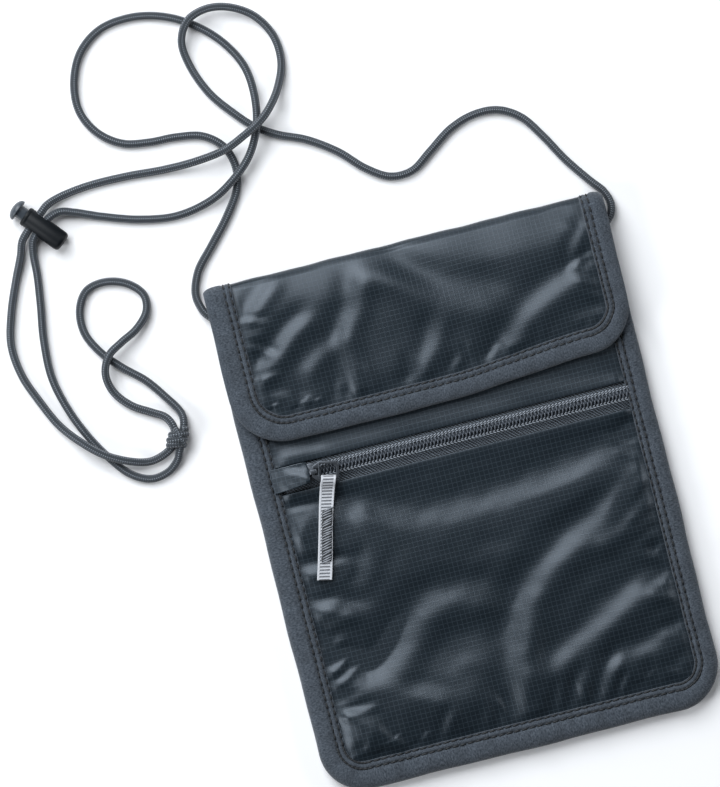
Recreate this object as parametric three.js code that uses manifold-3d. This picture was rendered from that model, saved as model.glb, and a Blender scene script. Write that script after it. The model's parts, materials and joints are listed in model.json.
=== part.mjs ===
// A flat neck pouch wallet with a fold-over flap, a zip pocket and a braided neck cord.
// The pouch lies on its back: +X is the wearer's left-to-right across the front, +Y runs up to the
// flap's fold and +Z is the front. Millimetres, origin under the middle of the pouch.
import * as THREE from "three";
import { mergeVertices } from "three/addons/utils/BufferGeometryUtils.js";
import Module from "manifold-3d";

const wasm = await Module();
wasm.setup();

// Driving dimensions
const halfWidth = 75;
const halfLength = 95.8;
const gap = 0.3; // clearance between sewn or touching pieces

const cornerRadius = 17;
const bindingLeft = 10.3; // width of the soft edge binding on each side
const bindingRight = 8.6;
const bindingBottom = 10.6;
const bindingTopY = 84;

const backThickness = 1.0;
const dividerZ = 5.5;
const dividerThickness = 0.5;
const frontZ = 6.4;
const frontThickness = 0.8;
const frontTopZ = frontZ + frontThickness;
const panelCornerRadius = 8;
const mouthY = 86;

const foldRadius = 5.5;
const foldY = halfLength - foldRadius;
const flapBottomY = 34.5;
const flapRadiusLeft = 20;
const flapRadiusRight = 17;
const flapBindingLeft = 10.8;
const flapBindingRight = 8.6;
const flapBindingBottom = 9.5;
const flapTopZ = 11;

const zipY = 21.75;
const zipWindowTopY = 26.2;
const zipWindowBottomY = 15.8;
const zipStartX = -61;
const zipEndX = 63;
const tapeZ = 6.3;
const tapeThickness = 0.5;
const coilZ = 7.1;
const coilHeight = 1.1;
const coilWidth = 1.1;
const sliderX = -51.6;

const cordDiameter = 2.9;
const lockX = -127.2;
const lockY = 133.7;
const lockAngle = THREE.MathUtils.degToRad(-49.65);
const barrelRadius = 3.75;
const barrelLength = 17.2;
const lockZ = barrelRadius + 0.05;

// Points that the cord's middle passes through, from the left side seam round to the right one
const leftRoute = [
  [-75.4, 86.8, 3], [-76.9, 87.2, 2.9], [-77.6, 90.5, 2.2], [-77.4, 96, 1.5], [-74.3, 103, 1.5],
  [-67.5, 111, 1.5], [-59.5, 120, 1.5], [-53.5, 129, 1.5], [-52, 137, 1.5], [-54.5, 145, 1.5],
  [-61, 150.5, 1.5], [-70.5, 152.5, 1.5], [-80, 153, 1.5], [-90, 155, 1.5], [-98, 161, 1.5],
  [-102.5, 170, 1.5], [-102, 180.5, 1.5], [-97, 191, 1.5], [-88, 197.5, 1.5], [-76, 199, 1.5],
  [-64.5, 196.5, 1.5], [-54, 190.5, 1.5], [-45.5, 182, 1.5], [-40, 171.5, 2.4], [-39, 160, 4.4],
  [-41, 149, 4.9], [-46, 139.5, 4.9], [-53.5, 132.5, 5], [-63.5, 127, 2.6], [-77, 124.5, 1.5],
  [-90.5, 126.5, 1.5], [-104, 131, 1.5], [-113.5, 135.4, 2.2], [-119, 137, 3.4],
  [-123.1, 135.2, 3.8],
];
const lowerRoute = [
  [-129.3, 129.9, 3.8], [-130.7, 127.6, 3.4], [-131.5, 123.5, 2.2], [-132, 116, 1.5],
  [-133.5, 105, 1.5], [-135.5, 92.5, 1.5], [-136, 78.5, 1.5], [-133.5, 67, 1.5],
  [-129, 55.5, 1.5], [-123, 45, 1.5], [-116.5, 37, 1.5], [-109.5, 33.5, 1.5], [-103, 34.5, 1.6],
  [-98.6, 38, 2.6], [-97.3, 40.5, 3.4],
];
const loopRoute = [
  [-93.1, 50.5, 3.4], [-93.3, 54.5, 2], [-97.5, 61.5, 1.5], [-103, 69, 1.5], [-110, 75.5, 1.5],
  [-116.5, 83, 1.5], [-120.5, 91.5, 1.5], [-120, 100, 1.5], [-116, 106, 1.5], [-109, 107.5, 1.5],
  [-101, 105, 1.5], [-96, 99.5, 1.5], [-96.5, 93.5, 1.8], [-101.5, 88, 3.2], [-108, 84.5, 4.9],
  [-113.5, 81, 4.9], [-116.5, 75, 4], [-115.5, 68, 1.9], [-110.5, 61.5, 1.5], [-103.5, 57, 1.7],
  [-99, 53.5, 2.6], [-97, 51.3, 3.4],
];
const upperRoute = [
  [-101.2, 42.2, 3.4], [-104, 40.8, 2.2], [-109, 39.8, 2], [-116.5, 42, 4.2], [-124.5, 46.5, 5],
  [-131, 52.5, 4.4], [-137.5, 60.5, 2], [-142.5, 71, 1.5], [-146.5, 82, 1.5], [-147.5, 93.5, 1.5],
  [-144.5, 105, 1.5], [-140, 116, 1.5], [-136, 124.5, 2.4], [-134, 130.2, 3.5],
  [-131.3, 132.2, 3.8],
];
const rightRoute = [
  [-125.1, 137.5, 3.8], [-122.4, 139.7, 3.2], [-117.5, 141.5, 1.8], [-106.5, 143, 1.5],
  [-92, 143, 1.5], [-77.5, 142, 1.9], [-65, 142, 4.4], [-54, 143.5, 5.6], [-46.5, 146.5, 8.2],
  [-40.5, 149.5, 8.8], [-35.5, 153.5, 7.6], [-30, 161, 3], [-26.5, 170, 1.5], [-27, 180, 1.5],
  [-32.5, 189, 2.2], [-41, 194, 4.2], [-49, 195, 5.2], [-56, 192.5, 5.2], [-60, 186, 3.4],
  [-59.5, 177.5, 1.6], [-55, 165.5, 1.5], [-48.5, 156.5, 1.5], [-42, 149.5, 1.5],
  [-34.5, 144.5, 1.5], [-24.5, 140, 1.5], [-14.5, 133, 1.5], [-6, 124.5, 1.5], [2, 119.5, 1.5],
  [10, 119.5, 1.5], [18.5, 125, 1.5], [27.5, 131, 1.5], [37, 134, 1.5], [46, 133.5, 1.5],
  [53.5, 129, 1.5], [59.5, 120.5, 1.5], [65.5, 110, 1.5], [72, 101, 1.5], [76.6, 95, 1.6],
  [77.6, 89.5, 2.2], [76.9, 85.6, 2.9], [75.4, 85.2, 3],
];

// Materials
function finish(color, roughness, metalness = 0) {
  return new THREE.MeshStandardMaterial({ color, roughness, metalness });
}
const ripstop = finish("#20262e", 0.5);
const knitBinding = finish("#34383f", 0.95);
const lining = finish("#23272c", 0.8);
const tape = finish("#2a2e34", 0.85);
const coilNylon = finish("#4a4e55", 0.45);
const darkMetal = finish("#3c4046", 0.35, 0.9);
const grosgrain = finish("#c3c5ca", 0.7);
const mouldedPlastic = finish("#14181c", 0.45);
const springSteel = finish("#9a9da2", 0.3, 1);
const braid = finish("#3b4149", 0.9);
const hookNylon = finish("#17191c", 0.8);

const pouch = new THREE.Group();

function piece(parent, name, geometry, material) {
  const mesh = new THREE.Mesh(geometry, material);
  mesh.name = name;
  parent.add(mesh);
  return mesh;
}

// A closed skin over rings of points, each ring convex and turning the same way
function loft(rings) {
  const count = rings[0].length;
  const vertices = rings.flat().flatMap((p) => [p.x, p.y, p.z]);
  const faces = [];
  for (let r = 0; r + 1 < rings.length; r++) {
    for (let k = 0; k < count; k++) {
      const a = r * count + k;
      const b = r * count + ((k + 1) % count);
      faces.push(a, b, b + count, a, b + count, a + count);
    }
  }
  const last = (rings.length - 1) * count;
  for (let k = 1; k + 1 < count; k++) {
    faces.push(0, k + 1, k);
    faces.push(last, last + k, last + k + 1);
  }
  const geometry = new THREE.BufferGeometry();
  geometry.setAttribute("position", new THREE.Float32BufferAttribute(vertices, 3));
  geometry.setIndex(faces);
  geometry.computeVertexNormals();
  return geometry;
}

// A flat slab of a shape drawn in X and Y, standing on height z
function slab(shape, z, thickness, curveSegments = 5) {
  const options = { depth: thickness, bevelEnabled: false, curveSegments };
  return new THREE.ExtrudeGeometry(shape, options).translate(0, 0, z);
}

function boxFrom(x0, x1, y0, y1, z0, z1) {
  const box = new THREE.BoxGeometry(x1 - x0, y1 - y0, z1 - z0);
  return box.translate((x0 + x1) / 2, (y0 + y1) / 2, (z0 + z1) / 2);
}

// A shape drawn in Y and Z, run along X from x0 to x1
function alongX(shape, x0, x1, curveSegments = 8) {
  const options = { depth: x1 - x0, bevelEnabled: false, curveSegments };
  const turn = new THREE.Matrix4().makeBasis(
    new THREE.Vector3(0, 1, 0),
    new THREE.Vector3(0, 0, 1),
    new THREE.Vector3(1, 0, 0),
  );
  return new THREE.ExtrudeGeometry(shape, options).applyMatrix4(turn).translate(x0, 0, 0);
}

// A tab-shaped outline: square at the top, round at its two lower corners
function tabShape(left, right, bottom, top, radiusLeft, radiusRight) {
  const shape = new THREE.Shape();
  shape.moveTo(left, top);
  shape.absarc(left + radiusLeft, bottom + radiusLeft, radiusLeft, Math.PI, 1.5 * Math.PI);
  shape.absarc(right - radiusRight, bottom + radiusRight, radiusRight, 1.5 * Math.PI, 2 * Math.PI);
  shape.lineTo(right, top);
  return shape;
}

function roundedBar(x0, x1, y0, y1, radius) {
  const shape = new THREE.Shape();
  shape.absarc(x0 + radius, y0 + radius, radius, Math.PI, 1.5 * Math.PI);
  shape.absarc(x1 - radius, y0 + radius, radius, 1.5 * Math.PI, 2 * Math.PI);
  shape.absarc(x1 - radius, y1 - radius, radius, 0, 0.5 * Math.PI);
  shape.absarc(x0 + radius, y1 - radius, radius, 0.5 * Math.PI, Math.PI);
  return shape;
}

// An edge binding run down the left side, along the bottom and up the right side.
// section(width) gives its outline as [distance in from the outer edge, height] pairs.
function edgeBinding({ bottom, top, radiusLeft, radiusRight, left, right, below, section }) {
  const cornerSteps = 6;
  const stations = [{ x: -halfWidth, y: top, angle: Math.PI, width: left }];
  function addCorner(x, radius, from, widthFrom, widthTo) {
    for (let i = 0; i <= cornerSteps; i++) {
      const t = i / cornerSteps;
      const angle = from + (t * Math.PI) / 2;
      stations.push({
        x: x + radius * Math.cos(angle),
        y: bottom + radius + radius * Math.sin(angle),
        angle,
        width: THREE.MathUtils.lerp(widthFrom, widthTo, t),
      });
    }
  }
  addCorner(-halfWidth + radiusLeft, radiusLeft, Math.PI, left, below);
  addCorner(halfWidth - radiusRight, radiusRight, 1.5 * Math.PI, below, right);
  stations.push({ x: halfWidth, y: top, angle: 2 * Math.PI, width: right });
  return loft(
    stations.map(({ x, y, angle, width }) =>
      section(width).map(
        ([inset, z]) =>
          new THREE.Vector3(x - inset * Math.cos(angle), y - inset * Math.sin(angle), z),
      ),
    ),
  );
}

// Joins and cuts of closed meshes
function solid(geometry) {
  const bare = new THREE.BufferGeometry();
  const source = geometry.index ? geometry.toNonIndexed() : geometry;
  bare.setAttribute("position", source.getAttribute("position").clone());
  const merged = mergeVertices(bare, 1e-4);
  return new wasm.Manifold(
    new wasm.Mesh({
      numProp: 3,
      vertProperties: new Float32Array(merged.attributes.position.array),
      triVerts: new Uint32Array(merged.index.array),
    }),
  );
}

function geometryOf(manifold) {
  const mesh = manifold.getMesh();
  const geometry = new THREE.BufferGeometry();
  geometry.setAttribute("position", new THREE.BufferAttribute(mesh.vertProperties, 3));
  geometry.setIndex(new THREE.BufferAttribute(mesh.triVerts, 1));
  geometry.computeVertexNormals();
  return geometry;
}

// Pouch body: back, divider, front panels and the binding that closes three sides
function addBody() {
  const left = -halfWidth + bindingLeft + gap;
  const right = halfWidth - bindingRight - gap;
  const bottom = -halfLength + bindingBottom + gap;
  const top = foldY - gap;
  const corner = panelCornerRadius;

  const back = tabShape(left, right, bottom, top, corner, corner);
  piece(pouch, "back_panel", slab(back, 0, backThickness), lining);

  const divider = tabShape(left, right, bottom, mouthY, corner, corner);
  piece(pouch, "pocket_divider", slab(divider, dividerZ, dividerThickness), lining);

  const lower = tabShape(left, right, bottom, zipWindowBottomY, corner, corner);
  piece(pouch, "front_lower_panel", slab(lower, frontZ, frontThickness), ripstop);

  const upper = boxFrom(left, right, zipWindowTopY, mouthY, frontZ, frontTopZ);
  piece(pouch, "front_upper_panel", upper, ripstop);

  const hemDepth = 2.2;
  const hemRound = 0.7;
  const hemFromY = mouthY + gap;
  const hem = roundedBar(hemFromY, hemFromY + hemDepth, dividerZ, frontTopZ, hemRound);
  piece(pouch, "mouth_hem", alongX(hem, left, right, 3), knitBinding);

  // Rolled edge: thin at the outside, rising inwards to the height of the panels
  const outline = (width) => [
    [0, 1.4], [0.7, 0.4], [2, 0], [width, 0], [width, frontTopZ], [width - 2.5, frontTopZ - 0.2],
    [2.4, 5.2], [0.7, 4.4], [0, 3.2],
  ];
  const binding = edgeBinding({
    bottom: -halfLength,
    top: bindingTopY,
    radiusLeft: cornerRadius,
    radiusRight: cornerRadius,
    left: bindingLeft,
    right: bindingRight,
    below: bindingBottom,
    section: outline,
  });
  piece(pouch, "body_binding", binding, knitBinding);

  // Side seam ends that the neck cord is sewn into, just below the fold
  const anchorFromY = bindingTopY + gap;
  const anchorZ = 0.4;
  const anchorTopZ = 5.2;
  const anchorLeft = boxFrom(-halfWidth, left - gap, anchorFromY, top, anchorZ, anchorTopZ);
  piece(pouch, "cord_anchor_left", anchorLeft, knitBinding);
  const anchorRight = boxFrom(right + gap, halfWidth, anchorFromY, top, anchorZ, anchorTopZ);
  piece(pouch, "cord_anchor_right", anchorRight, knitBinding);
}

// Flap: outer cloth, lining and edge binding, and the cloth that turns over the fold
function addFlap() {
  const left = -halfWidth + flapBindingLeft + gap;
  const right = halfWidth - flapBindingRight - gap;
  const bottom = flapBottomY + flapBindingBottom + gap;
  const top = foldY - gap;
  const liningZ = 9.1;
  const liningThickness = 0.4;
  const panelZ = liningZ + liningThickness + gap;
  const panelThickness = 0.8;
  const seamRadiusLeft = 10; // where the binding's inner edge turns each corner
  const seamRadiusRight = 9.5;
  const outline = tabShape(left, right, bottom, top, seamRadiusLeft, seamRadiusRight);
  piece(pouch, "flap_lining", slab(outline, liningZ, liningThickness), lining);
  piece(pouch, "flap_panel", slab(outline, panelZ, panelThickness), ripstop);

  const section = (width) => [
    [0, 9.2], [0.9, 8.5], [width, 8.4], [width, flapTopZ], [1.2, flapTopZ - 0.2], [0, 10.2],
  ];
  const binding = edgeBinding({
    bottom: flapBottomY,
    top,
    radiusLeft: flapRadiusLeft,
    radiusRight: flapRadiusRight,
    left: flapBindingLeft,
    right: flapBindingRight,
    below: flapBindingBottom,
    section,
  });
  piece(pouch, "flap_binding", binding, knitBinding);

  // Half rings round the fold's own axis
  function foldBand(name, x0, x1, outer, inner, material) {
    const band = new THREE.Shape();
    band.absarc(foldY, foldRadius, outer, -0.5 * Math.PI, 0.5 * Math.PI);
    band.absarc(foldY, foldRadius, inner, 0.5 * Math.PI, -0.5 * Math.PI, true);
    piece(pouch, name, alongX(band, x0, x1, 10), material);
  }
  const bindingInner = 3.4;
  const clothOuter = foldRadius - gap;
  const clothInner = 4.1;
  foldBand("flap_fold", left, right, clothOuter, clothInner, ripstop);
  foldBand("fold_binding_left", -halfWidth, left - gap, foldRadius, bindingInner, knitBinding);
  foldBand("fold_binding_right", right + gap, halfWidth, foldRadius, bindingInner, knitBinding);

  // Closure under the flap
  const stripHalf = 30;
  const stripFromY = 48;
  const stripToY = 62;
  const stripThickness = 0.5;
  const loopZ = frontTopZ + gap;
  const loop = boxFrom(-stripHalf, stripHalf, stripFromY, stripToY, loopZ, loopZ + stripThickness);
  piece(pouch, "loop_strip", loop, hookNylon);
  const hookZ = loopZ + stripThickness + gap;
  const hook = boxFrom(-stripHalf, stripHalf, stripFromY, stripToY, hookZ, hookZ + stripThickness);
  piece(pouch, "hook_strip", hook, hookNylon);
}

// Zip: two tapes, two rows of coil and the folded cloth end over its closed end
function addZip() {
  const seam = 0.3; // half the gap between the tapes
  const upperTape = boxFrom(
    zipStartX, zipEndX, zipY + seam, zipWindowTopY - gap, tapeZ, tapeZ + tapeThickness,
  );
  piece(pouch, "zip_tape_upper", upperTape, tape);
  const lowerTape = boxFrom(
    zipStartX, zipEndX, zipWindowBottomY + gap, zipY - seam, tapeZ, tapeZ + tapeThickness,
  );
  piece(pouch, "zip_tape_lower", lowerTape, tape);

  const top = coilZ + coilHeight;
  const half = gap / 2;
  const coilRound = 0.35;
  const upperRow = roundedBar(zipY + half, zipY + half + coilWidth, coilZ, top, coilRound);
  piece(pouch, "zip_coil_upper", alongX(upperRow, zipStartX, zipEndX, 2), coilNylon);
  const lowerRow = roundedBar(zipY - half - coilWidth, zipY - half, coilZ, top, coilRound);
  piece(pouch, "zip_coil_lower", alongX(lowerRow, zipStartX, zipEndX, 2), coilNylon);

  // Stands on the binding at the left, steps up and over the slider's end
  const tabFromX = -65.2;
  const tabToX = -53.4;
  const tabFromY = 17;
  const tabToY = 26;
  const tabThickness = 0.9;
  const rise = [
    [tabFromX, 7.6], [-61.6, 8.6], [-58, 9.4], [tabToX, 9.6],
  ];
  const rings = rise.map(([x, z]) => [
    new THREE.Vector3(x, tabFromY, z),
    new THREE.Vector3(x, tabToY, z),
    new THREE.Vector3(x, tabToY, z + tabThickness),
    new THREE.Vector3(x, tabFromY, z + tabThickness),
  ]);
  piece(pouch, "zip_end_tab", loft(rings), ripstop);
}

// Slider with its arch, the flat metal pull hung on it and the ribbon through the pull
function addSlider() {
  const plateZ = 8.5;
  const plateThickness = 0.6;
  const plateTop = plateZ + plateThickness;
  const slider = new THREE.Group();
  slider.position.set(sliderX, zipY, 0);
  pouch.add(slider);

  const plate = new THREE.Shape();
  plate.moveTo(-5, -2.2);
  plate.lineTo(-3.6, -3.2);
  plate.lineTo(0.3, -3.2);
  plate.lineTo(1.9, -1.8);
  plate.lineTo(1.9, 1.8);
  plate.lineTo(0.3, 3.2);
  plate.lineTo(-3.6, 3.2);
  plate.lineTo(-5, 2.2);
  const sunk = 0.2; // how far the joined shapes reach into the plate
  const cheekFromX = -3.4;
  const cheekToX = 0.2;
  const cheekInner = 2.4;
  const cheekOuter = 3.1;
  const cheekTop = plateZ + sunk;
  const cheekLow = plateZ - 1.2;
  const near = boxFrom(cheekFromX, cheekToX, -cheekOuter, -cheekInner, cheekLow, cheekTop);
  const far = boxFrom(cheekFromX, cheekToX, cheekInner, cheekOuter, cheekLow, cheekTop);

  // The arch is drawn in X and Z, so it is drawn flat and stood up
  const archHeight = 2.3;
  const archHalf = 1.5;
  const archRound = 0.8;
  const wall = 0.45;
  const arch = new THREE.Shape();
  arch.moveTo(-archHalf, -sunk);
  arch.lineTo(archHalf, -sunk);
  arch.absarc(archHalf - archRound, archHeight - archRound, archRound, 0, 0.5 * Math.PI);
  arch.absarc(-archHalf + archRound, archHeight - archRound, archRound, 0.5 * Math.PI, Math.PI);
  const eyeFloor = 0.05;
  const eye = new THREE.Path();
  eye.moveTo(-archHalf + wall, eyeFloor);
  eye.lineTo(archHalf - wall, eyeFloor);
  eye.lineTo(archHalf - wall, archHeight - archRound);
  eye.absarc(archHalf - archRound, archHeight - archRound, archRound - wall, 0, 0.5 * Math.PI);
  eye.absarc(-archHalf + archRound, archHeight - archRound, archRound - wall, 0.5 * Math.PI, Math.PI);
  arch.holes.push(eye);
  const archWidth = 1.6;
  const standing = new THREE.ExtrudeGeometry(arch, {
    depth: archWidth,
    bevelEnabled: false,
    curveSegments: 4,
  });
  standing.rotateX(Math.PI / 2).translate(0, archWidth / 2, plateTop);
  const body = solid(slab(plate, plateZ, plateThickness))
    .add(solid(near))
    .add(solid(far))
    .add(solid(standing));
  piece(slider, "zip_slider", geometryOf(body), darkMetal);

  // Pull: hung by its rear bar inside the arch, swung a little off line, tip lowest
  const pullThickness = 0.9;
  const barHeight = 1.05;
  const pull = new THREE.Group();
  pull.position.z = plateTop + barHeight;
  pull.rotation.set(0, THREE.MathUtils.degToRad(5), THREE.MathUtils.degToRad(-12), "ZYX");
  slider.add(pull);
  const halfPull = 3.8;
  const tipX = 9.5;
  const tipRound = 2;
  const shoulderX = 2.2;
  const rearHalf = 1.9;
  const outline = new THREE.Shape();
  outline.moveTo(-pullThickness / 2, -rearHalf);
  outline.lineTo(shoulderX, -halfPull);
  outline.absarc(tipX - tipRound, tipRound - halfPull, tipRound, 1.5 * Math.PI, 2 * Math.PI);
  outline.absarc(tipX - tipRound, halfPull - tipRound, tipRound, 0, 0.5 * Math.PI);
  outline.lineTo(shoulderX, halfPull);
  outline.lineTo(-pullThickness / 2, rearHalf);
  const archHole = new THREE.Path();
  archHole.moveTo(0.45, -1.2);
  archHole.lineTo(1.8, -1.2);
  archHole.lineTo(1.8, 1.2);
  archHole.lineTo(0.45, 1.2);
  const ribbonHole = new THREE.Path();
  ribbonHole.moveTo(2.4, -2.2);
  ribbonHole.lineTo(8.4, -2.2);
  ribbonHole.lineTo(8.4, 1.4);
  ribbonHole.lineTo(7.2, 2.7);
  ribbonHole.lineTo(2.4, 2.7);
  outline.holes.push(archHole, ribbonHole);
  piece(pull, "zip_pull", slab(outline, -pullThickness / 2, pullThickness, 4), darkMetal);

  // Ribbon: a loop round the pull's lower leg and two plies sewn together below it
  const loopOuter = 1.65;
  const loopInner = 1.25;
  const ribbonWidth = 5.4;
  const ribbonLength = 38.5;
  const plies = 0.8;
  const profile = new THREE.Shape();
  profile.moveTo(loopOuter - ribbonLength, -loopOuter);
  profile.absarc(0, 0, loopOuter, -0.5 * Math.PI, Math.PI + Math.asin((loopOuter - plies) / loopOuter));
  profile.lineTo(loopOuter - ribbonLength, plies - loopOuter);
  const legHole = new THREE.Path();
  legHole.absarc(0, 0, loopInner, 0, 2 * Math.PI);
  profile.holes.push(legHole);
  const legX = 5.4;
  const legY = -3;
  const ribbon = new THREE.Group();
  ribbon.position.set(legX, legY, 0);
  pull.add(ribbon);
  const strap = alongX(profile, -ribbonWidth / 2, ribbonWidth / 2, 12);
  piece(ribbon, "pull_ribbon", strap, grosgrain);
}

// Spring cord lock: barrel, plunger and spring on one axis, the cord across them
function addLock() {
  const lock = new THREE.Group();
  lock.position.set(lockX, lockY, lockZ);
  lock.rotation.z = lockAngle;
  pouch.add(lock);

  // Turned pieces are drawn as [distance along the lock, radius]; their axis lies along X
  function turned(profile, segments) {
    const points = profile.map(([along, radius]) => new THREE.Vector2(radius, along));
    return new THREE.LatheGeometry(points, segments).rotateZ(-Math.PI / 2);
  }
  const holeHalfLength = 3.3;
  const holeHalfHeight = 1.8;
  const holeRound = 1.5;
  const holeShape = roundedBar(
    -holeHalfLength, holeHalfLength, -holeHalfHeight, holeHalfHeight, holeRound,
  );
  function crossHole(x) {
    const options = { depth: 4 * barrelRadius, bevelEnabled: false, curveSegments: 4 };
    const hole = new THREE.ExtrudeGeometry(holeShape, options);
    return hole.rotateX(Math.PI / 2).translate(x, 2 * barrelRadius, 0);
  }

  const openEnd = -5.5;
  const closedEnd = openEnd + barrelLength;
  const boreRadius = 2.8;
  const boreDepth = 14;
  const barrel = turned(
    [
      [openEnd + 0.4, boreRadius], [openEnd, boreRadius + 0.4], [openEnd, barrelRadius - 0.5],
      [openEnd + 0.5, barrelRadius], [closedEnd - 1.2, barrelRadius],
      [closedEnd - 0.35, barrelRadius - 0.4], [closedEnd, barrelRadius - 1.3],
      [closedEnd - 0.3, 1.2], [closedEnd - 0.3, 0], [openEnd + boreDepth, 0],
      [openEnd + boreDepth, boreRadius], [openEnd + 0.4, boreRadius],
    ],
    24,
  );
  const bored = solid(barrel).subtract(solid(crossHole(0)));
  piece(lock, "cord_lock_barrel", geometryOf(bored), mouldedPlastic);

  // Shown let go: the plunger stands out by its travel, so its hole is off the barrel's
  const travel = 2.6;
  const neckRadius = 2.45;
  const headRadius = 4.1;
  const headX = openEnd - travel - gap;
  const stem = 2.5; // solid stretch beyond the plunger's own hole
  const neckEnd = holeHalfLength - travel + stem;
  const plunger = turned(
    [
      [headX - 1.6, 0], [headX - 1.5, 2.2], [headX - 1.1, headRadius - 0.6], [headX - 0.7, headRadius],
      [headX - 0.3, headRadius], [headX, headRadius - 0.5], [headX, neckRadius],
      [neckEnd, neckRadius], [neckEnd, 0],
    ],
    20,
  );
  const crossed = solid(plunger).subtract(solid(crossHole(-travel)));
  piece(lock, "cord_lock_plunger", geometryOf(crossed), mouldedPlastic);

  // Spring between the plunger's end and the floor of the bore, as one plain sleeve
  const springFrom = neckEnd + gap;
  const springTo = openEnd + boreDepth - gap;
  const inner = 1.5;
  const outer = 2.1;
  const sleeve = turned(
    [
      [springFrom, inner], [springFrom, outer], [springTo, outer], [springTo, inner],
      [springFrom, inner],
    ],
    14,
  );
  piece(lock, "cord_lock_spring", sleeve, springSteel);
}

// Stopper knot that gathers both ends of the hand loop
function addKnot() {
  const knotRadii = [4.3, 4.7, 3.6];
  const knot = new THREE.SphereGeometry(1, 16, 12);
  knot.scale(...knotRadii);
  const mesh = piece(pouch, "stopper_knot", knot, braid);
  mesh.position.set(-96.6, 45.8, 3.65);
  mesh.rotation.z = THREE.MathUtils.degToRad(-27);
}

// Neck cord, stretch by stretch
function addCord() {
  const sides = 8;
  const section = new THREE.Shape();
  for (let k = 0; k < sides; k++) {
    const angle = ((k + 0.5) * 2 * Math.PI) / sides;
    const x = (cordDiameter / 2) * Math.cos(angle);
    const y = (cordDiameter / 2) * Math.sin(angle);
    if (k === 0) section.moveTo(x, y);
    else section.lineTo(x, y);
  }
  function strand(name, route, steps) {
    const path = new THREE.CatmullRomCurve3(route.map((p) => new THREE.Vector3(...p)));
    path.arcLengthDivisions = 20 * steps;
    const tube = new THREE.ExtrudeGeometry(section, { steps, extrudePath: path });
    piece(pouch, name, tube, braid);
  }
  strand("cord_left", leftRoute, 29);
  strand("cord_lower", lowerRoute, 8);
  strand("cord_end_loop", loopRoute, 14);
  strand("cord_upper", upperRoute, 8);
  strand("cord_right", rightRoute, 32);
}

addBody();
addFlap();
addZip();
addSlider();
addLock();
addKnot();
addCord();

export default pouch;
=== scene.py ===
import json
import math

import bpy
import numpy as np
from mathutils import Matrix, Vector


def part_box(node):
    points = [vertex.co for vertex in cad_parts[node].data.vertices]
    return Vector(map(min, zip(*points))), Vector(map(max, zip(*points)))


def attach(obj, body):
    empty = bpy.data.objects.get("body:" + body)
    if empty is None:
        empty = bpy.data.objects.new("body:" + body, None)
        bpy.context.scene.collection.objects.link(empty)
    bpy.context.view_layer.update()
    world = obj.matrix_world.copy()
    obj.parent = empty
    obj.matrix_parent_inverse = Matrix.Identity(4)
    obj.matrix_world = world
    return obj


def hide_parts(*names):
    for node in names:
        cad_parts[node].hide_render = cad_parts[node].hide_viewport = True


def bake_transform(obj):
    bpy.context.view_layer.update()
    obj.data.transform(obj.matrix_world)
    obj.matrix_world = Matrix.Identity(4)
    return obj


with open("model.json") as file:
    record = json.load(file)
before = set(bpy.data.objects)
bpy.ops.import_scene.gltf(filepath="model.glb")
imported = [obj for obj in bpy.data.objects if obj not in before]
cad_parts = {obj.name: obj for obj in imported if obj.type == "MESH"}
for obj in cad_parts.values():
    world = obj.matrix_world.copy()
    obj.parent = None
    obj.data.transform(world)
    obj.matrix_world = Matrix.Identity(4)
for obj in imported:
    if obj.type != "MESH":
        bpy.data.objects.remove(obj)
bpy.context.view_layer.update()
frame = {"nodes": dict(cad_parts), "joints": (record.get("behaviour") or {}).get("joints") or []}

mm = 0.001


# small tools


def clearSelection():
    bpy.ops.object.select_all(action="DESELECT")
    bpy.context.view_layer.objects.active = None


def makeActive(obj):
    clearSelection()
    obj.select_set(True)
    bpy.context.view_layer.objects.active = obj


def applyModifier(obj, kind, **settings):
    makeActive(obj)
    modifier = obj.modifiers.new(kind.title(), kind)
    for key, value in settings.items():
        setattr(modifier, key, value)
    bpy.ops.object.modifier_apply(modifier=modifier.name)


def breakEdges(obj, width, sharperThan):
    # rounds the edges that turn by more than an angle, in mm and degrees
    limit = math.radians(sharperThan)
    applyModifier(obj, "BEVEL", width=width * mm, segments=2, limit_method="ANGLE", angle_limit=limit)


def boxMm(node):
    low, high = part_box(node)
    return [value / mm for value in low], [value / mm for value in high]


def smoothStep(t):
    t = np.clip(t, 0.0, 1.0)
    return t * t * (3 - 2 * t)


def finishPiece(obj, material, body=None, stands=()):
    obj.data.materials.clear()
    obj.data.materials.append(material)
    for face in obj.data.polygons:
        face.use_smooth = True
    if body:
        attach(obj, body)
    if stands:
        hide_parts(*stands)
    return obj


def gridSheet(name, columns, rows, place, closed=False):
    # place(s, t) gives points and cloth coordinates, both in mm; closed joins the first row to the last
    clearSelection()
    bpy.ops.mesh.primitive_grid_add(x_subdivisions=columns, y_subdivisions=rows, size=2)
    obj = bpy.context.object
    obj.name = name
    mesh = obj.data
    mesh.name = name
    flat = np.empty(len(mesh.vertices) * 3)
    mesh.vertices.foreach_get("co", flat)
    flat = flat.reshape(-1, 3)
    points, cloth = place((flat[:, 0] + 1) / 2, (flat[:, 1] + 1) / 2)
    mesh.vertices.foreach_set("co", (points * mm).ravel())
    corners = np.empty(len(mesh.loops), dtype=int)
    mesh.loops.foreach_get("vertex_index", corners)
    mesh.uv_layers[0].data.foreach_set("uv", cloth[corners].ravel())
    mesh.update()
    if closed:
        makeActive(obj)
        bpy.ops.object.mode_set(mode="EDIT")
        bpy.ops.mesh.select_all(action="SELECT")
        bpy.ops.mesh.remove_doubles(threshold=0.002 * mm)
        bpy.ops.mesh.fill_holes(sides=0)
        bpy.ops.mesh.select_all(action="SELECT")
        bpy.ops.mesh.normals_make_consistent(inside=False)
        bpy.ops.object.mode_set(mode="OBJECT")
    return obj


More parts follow.
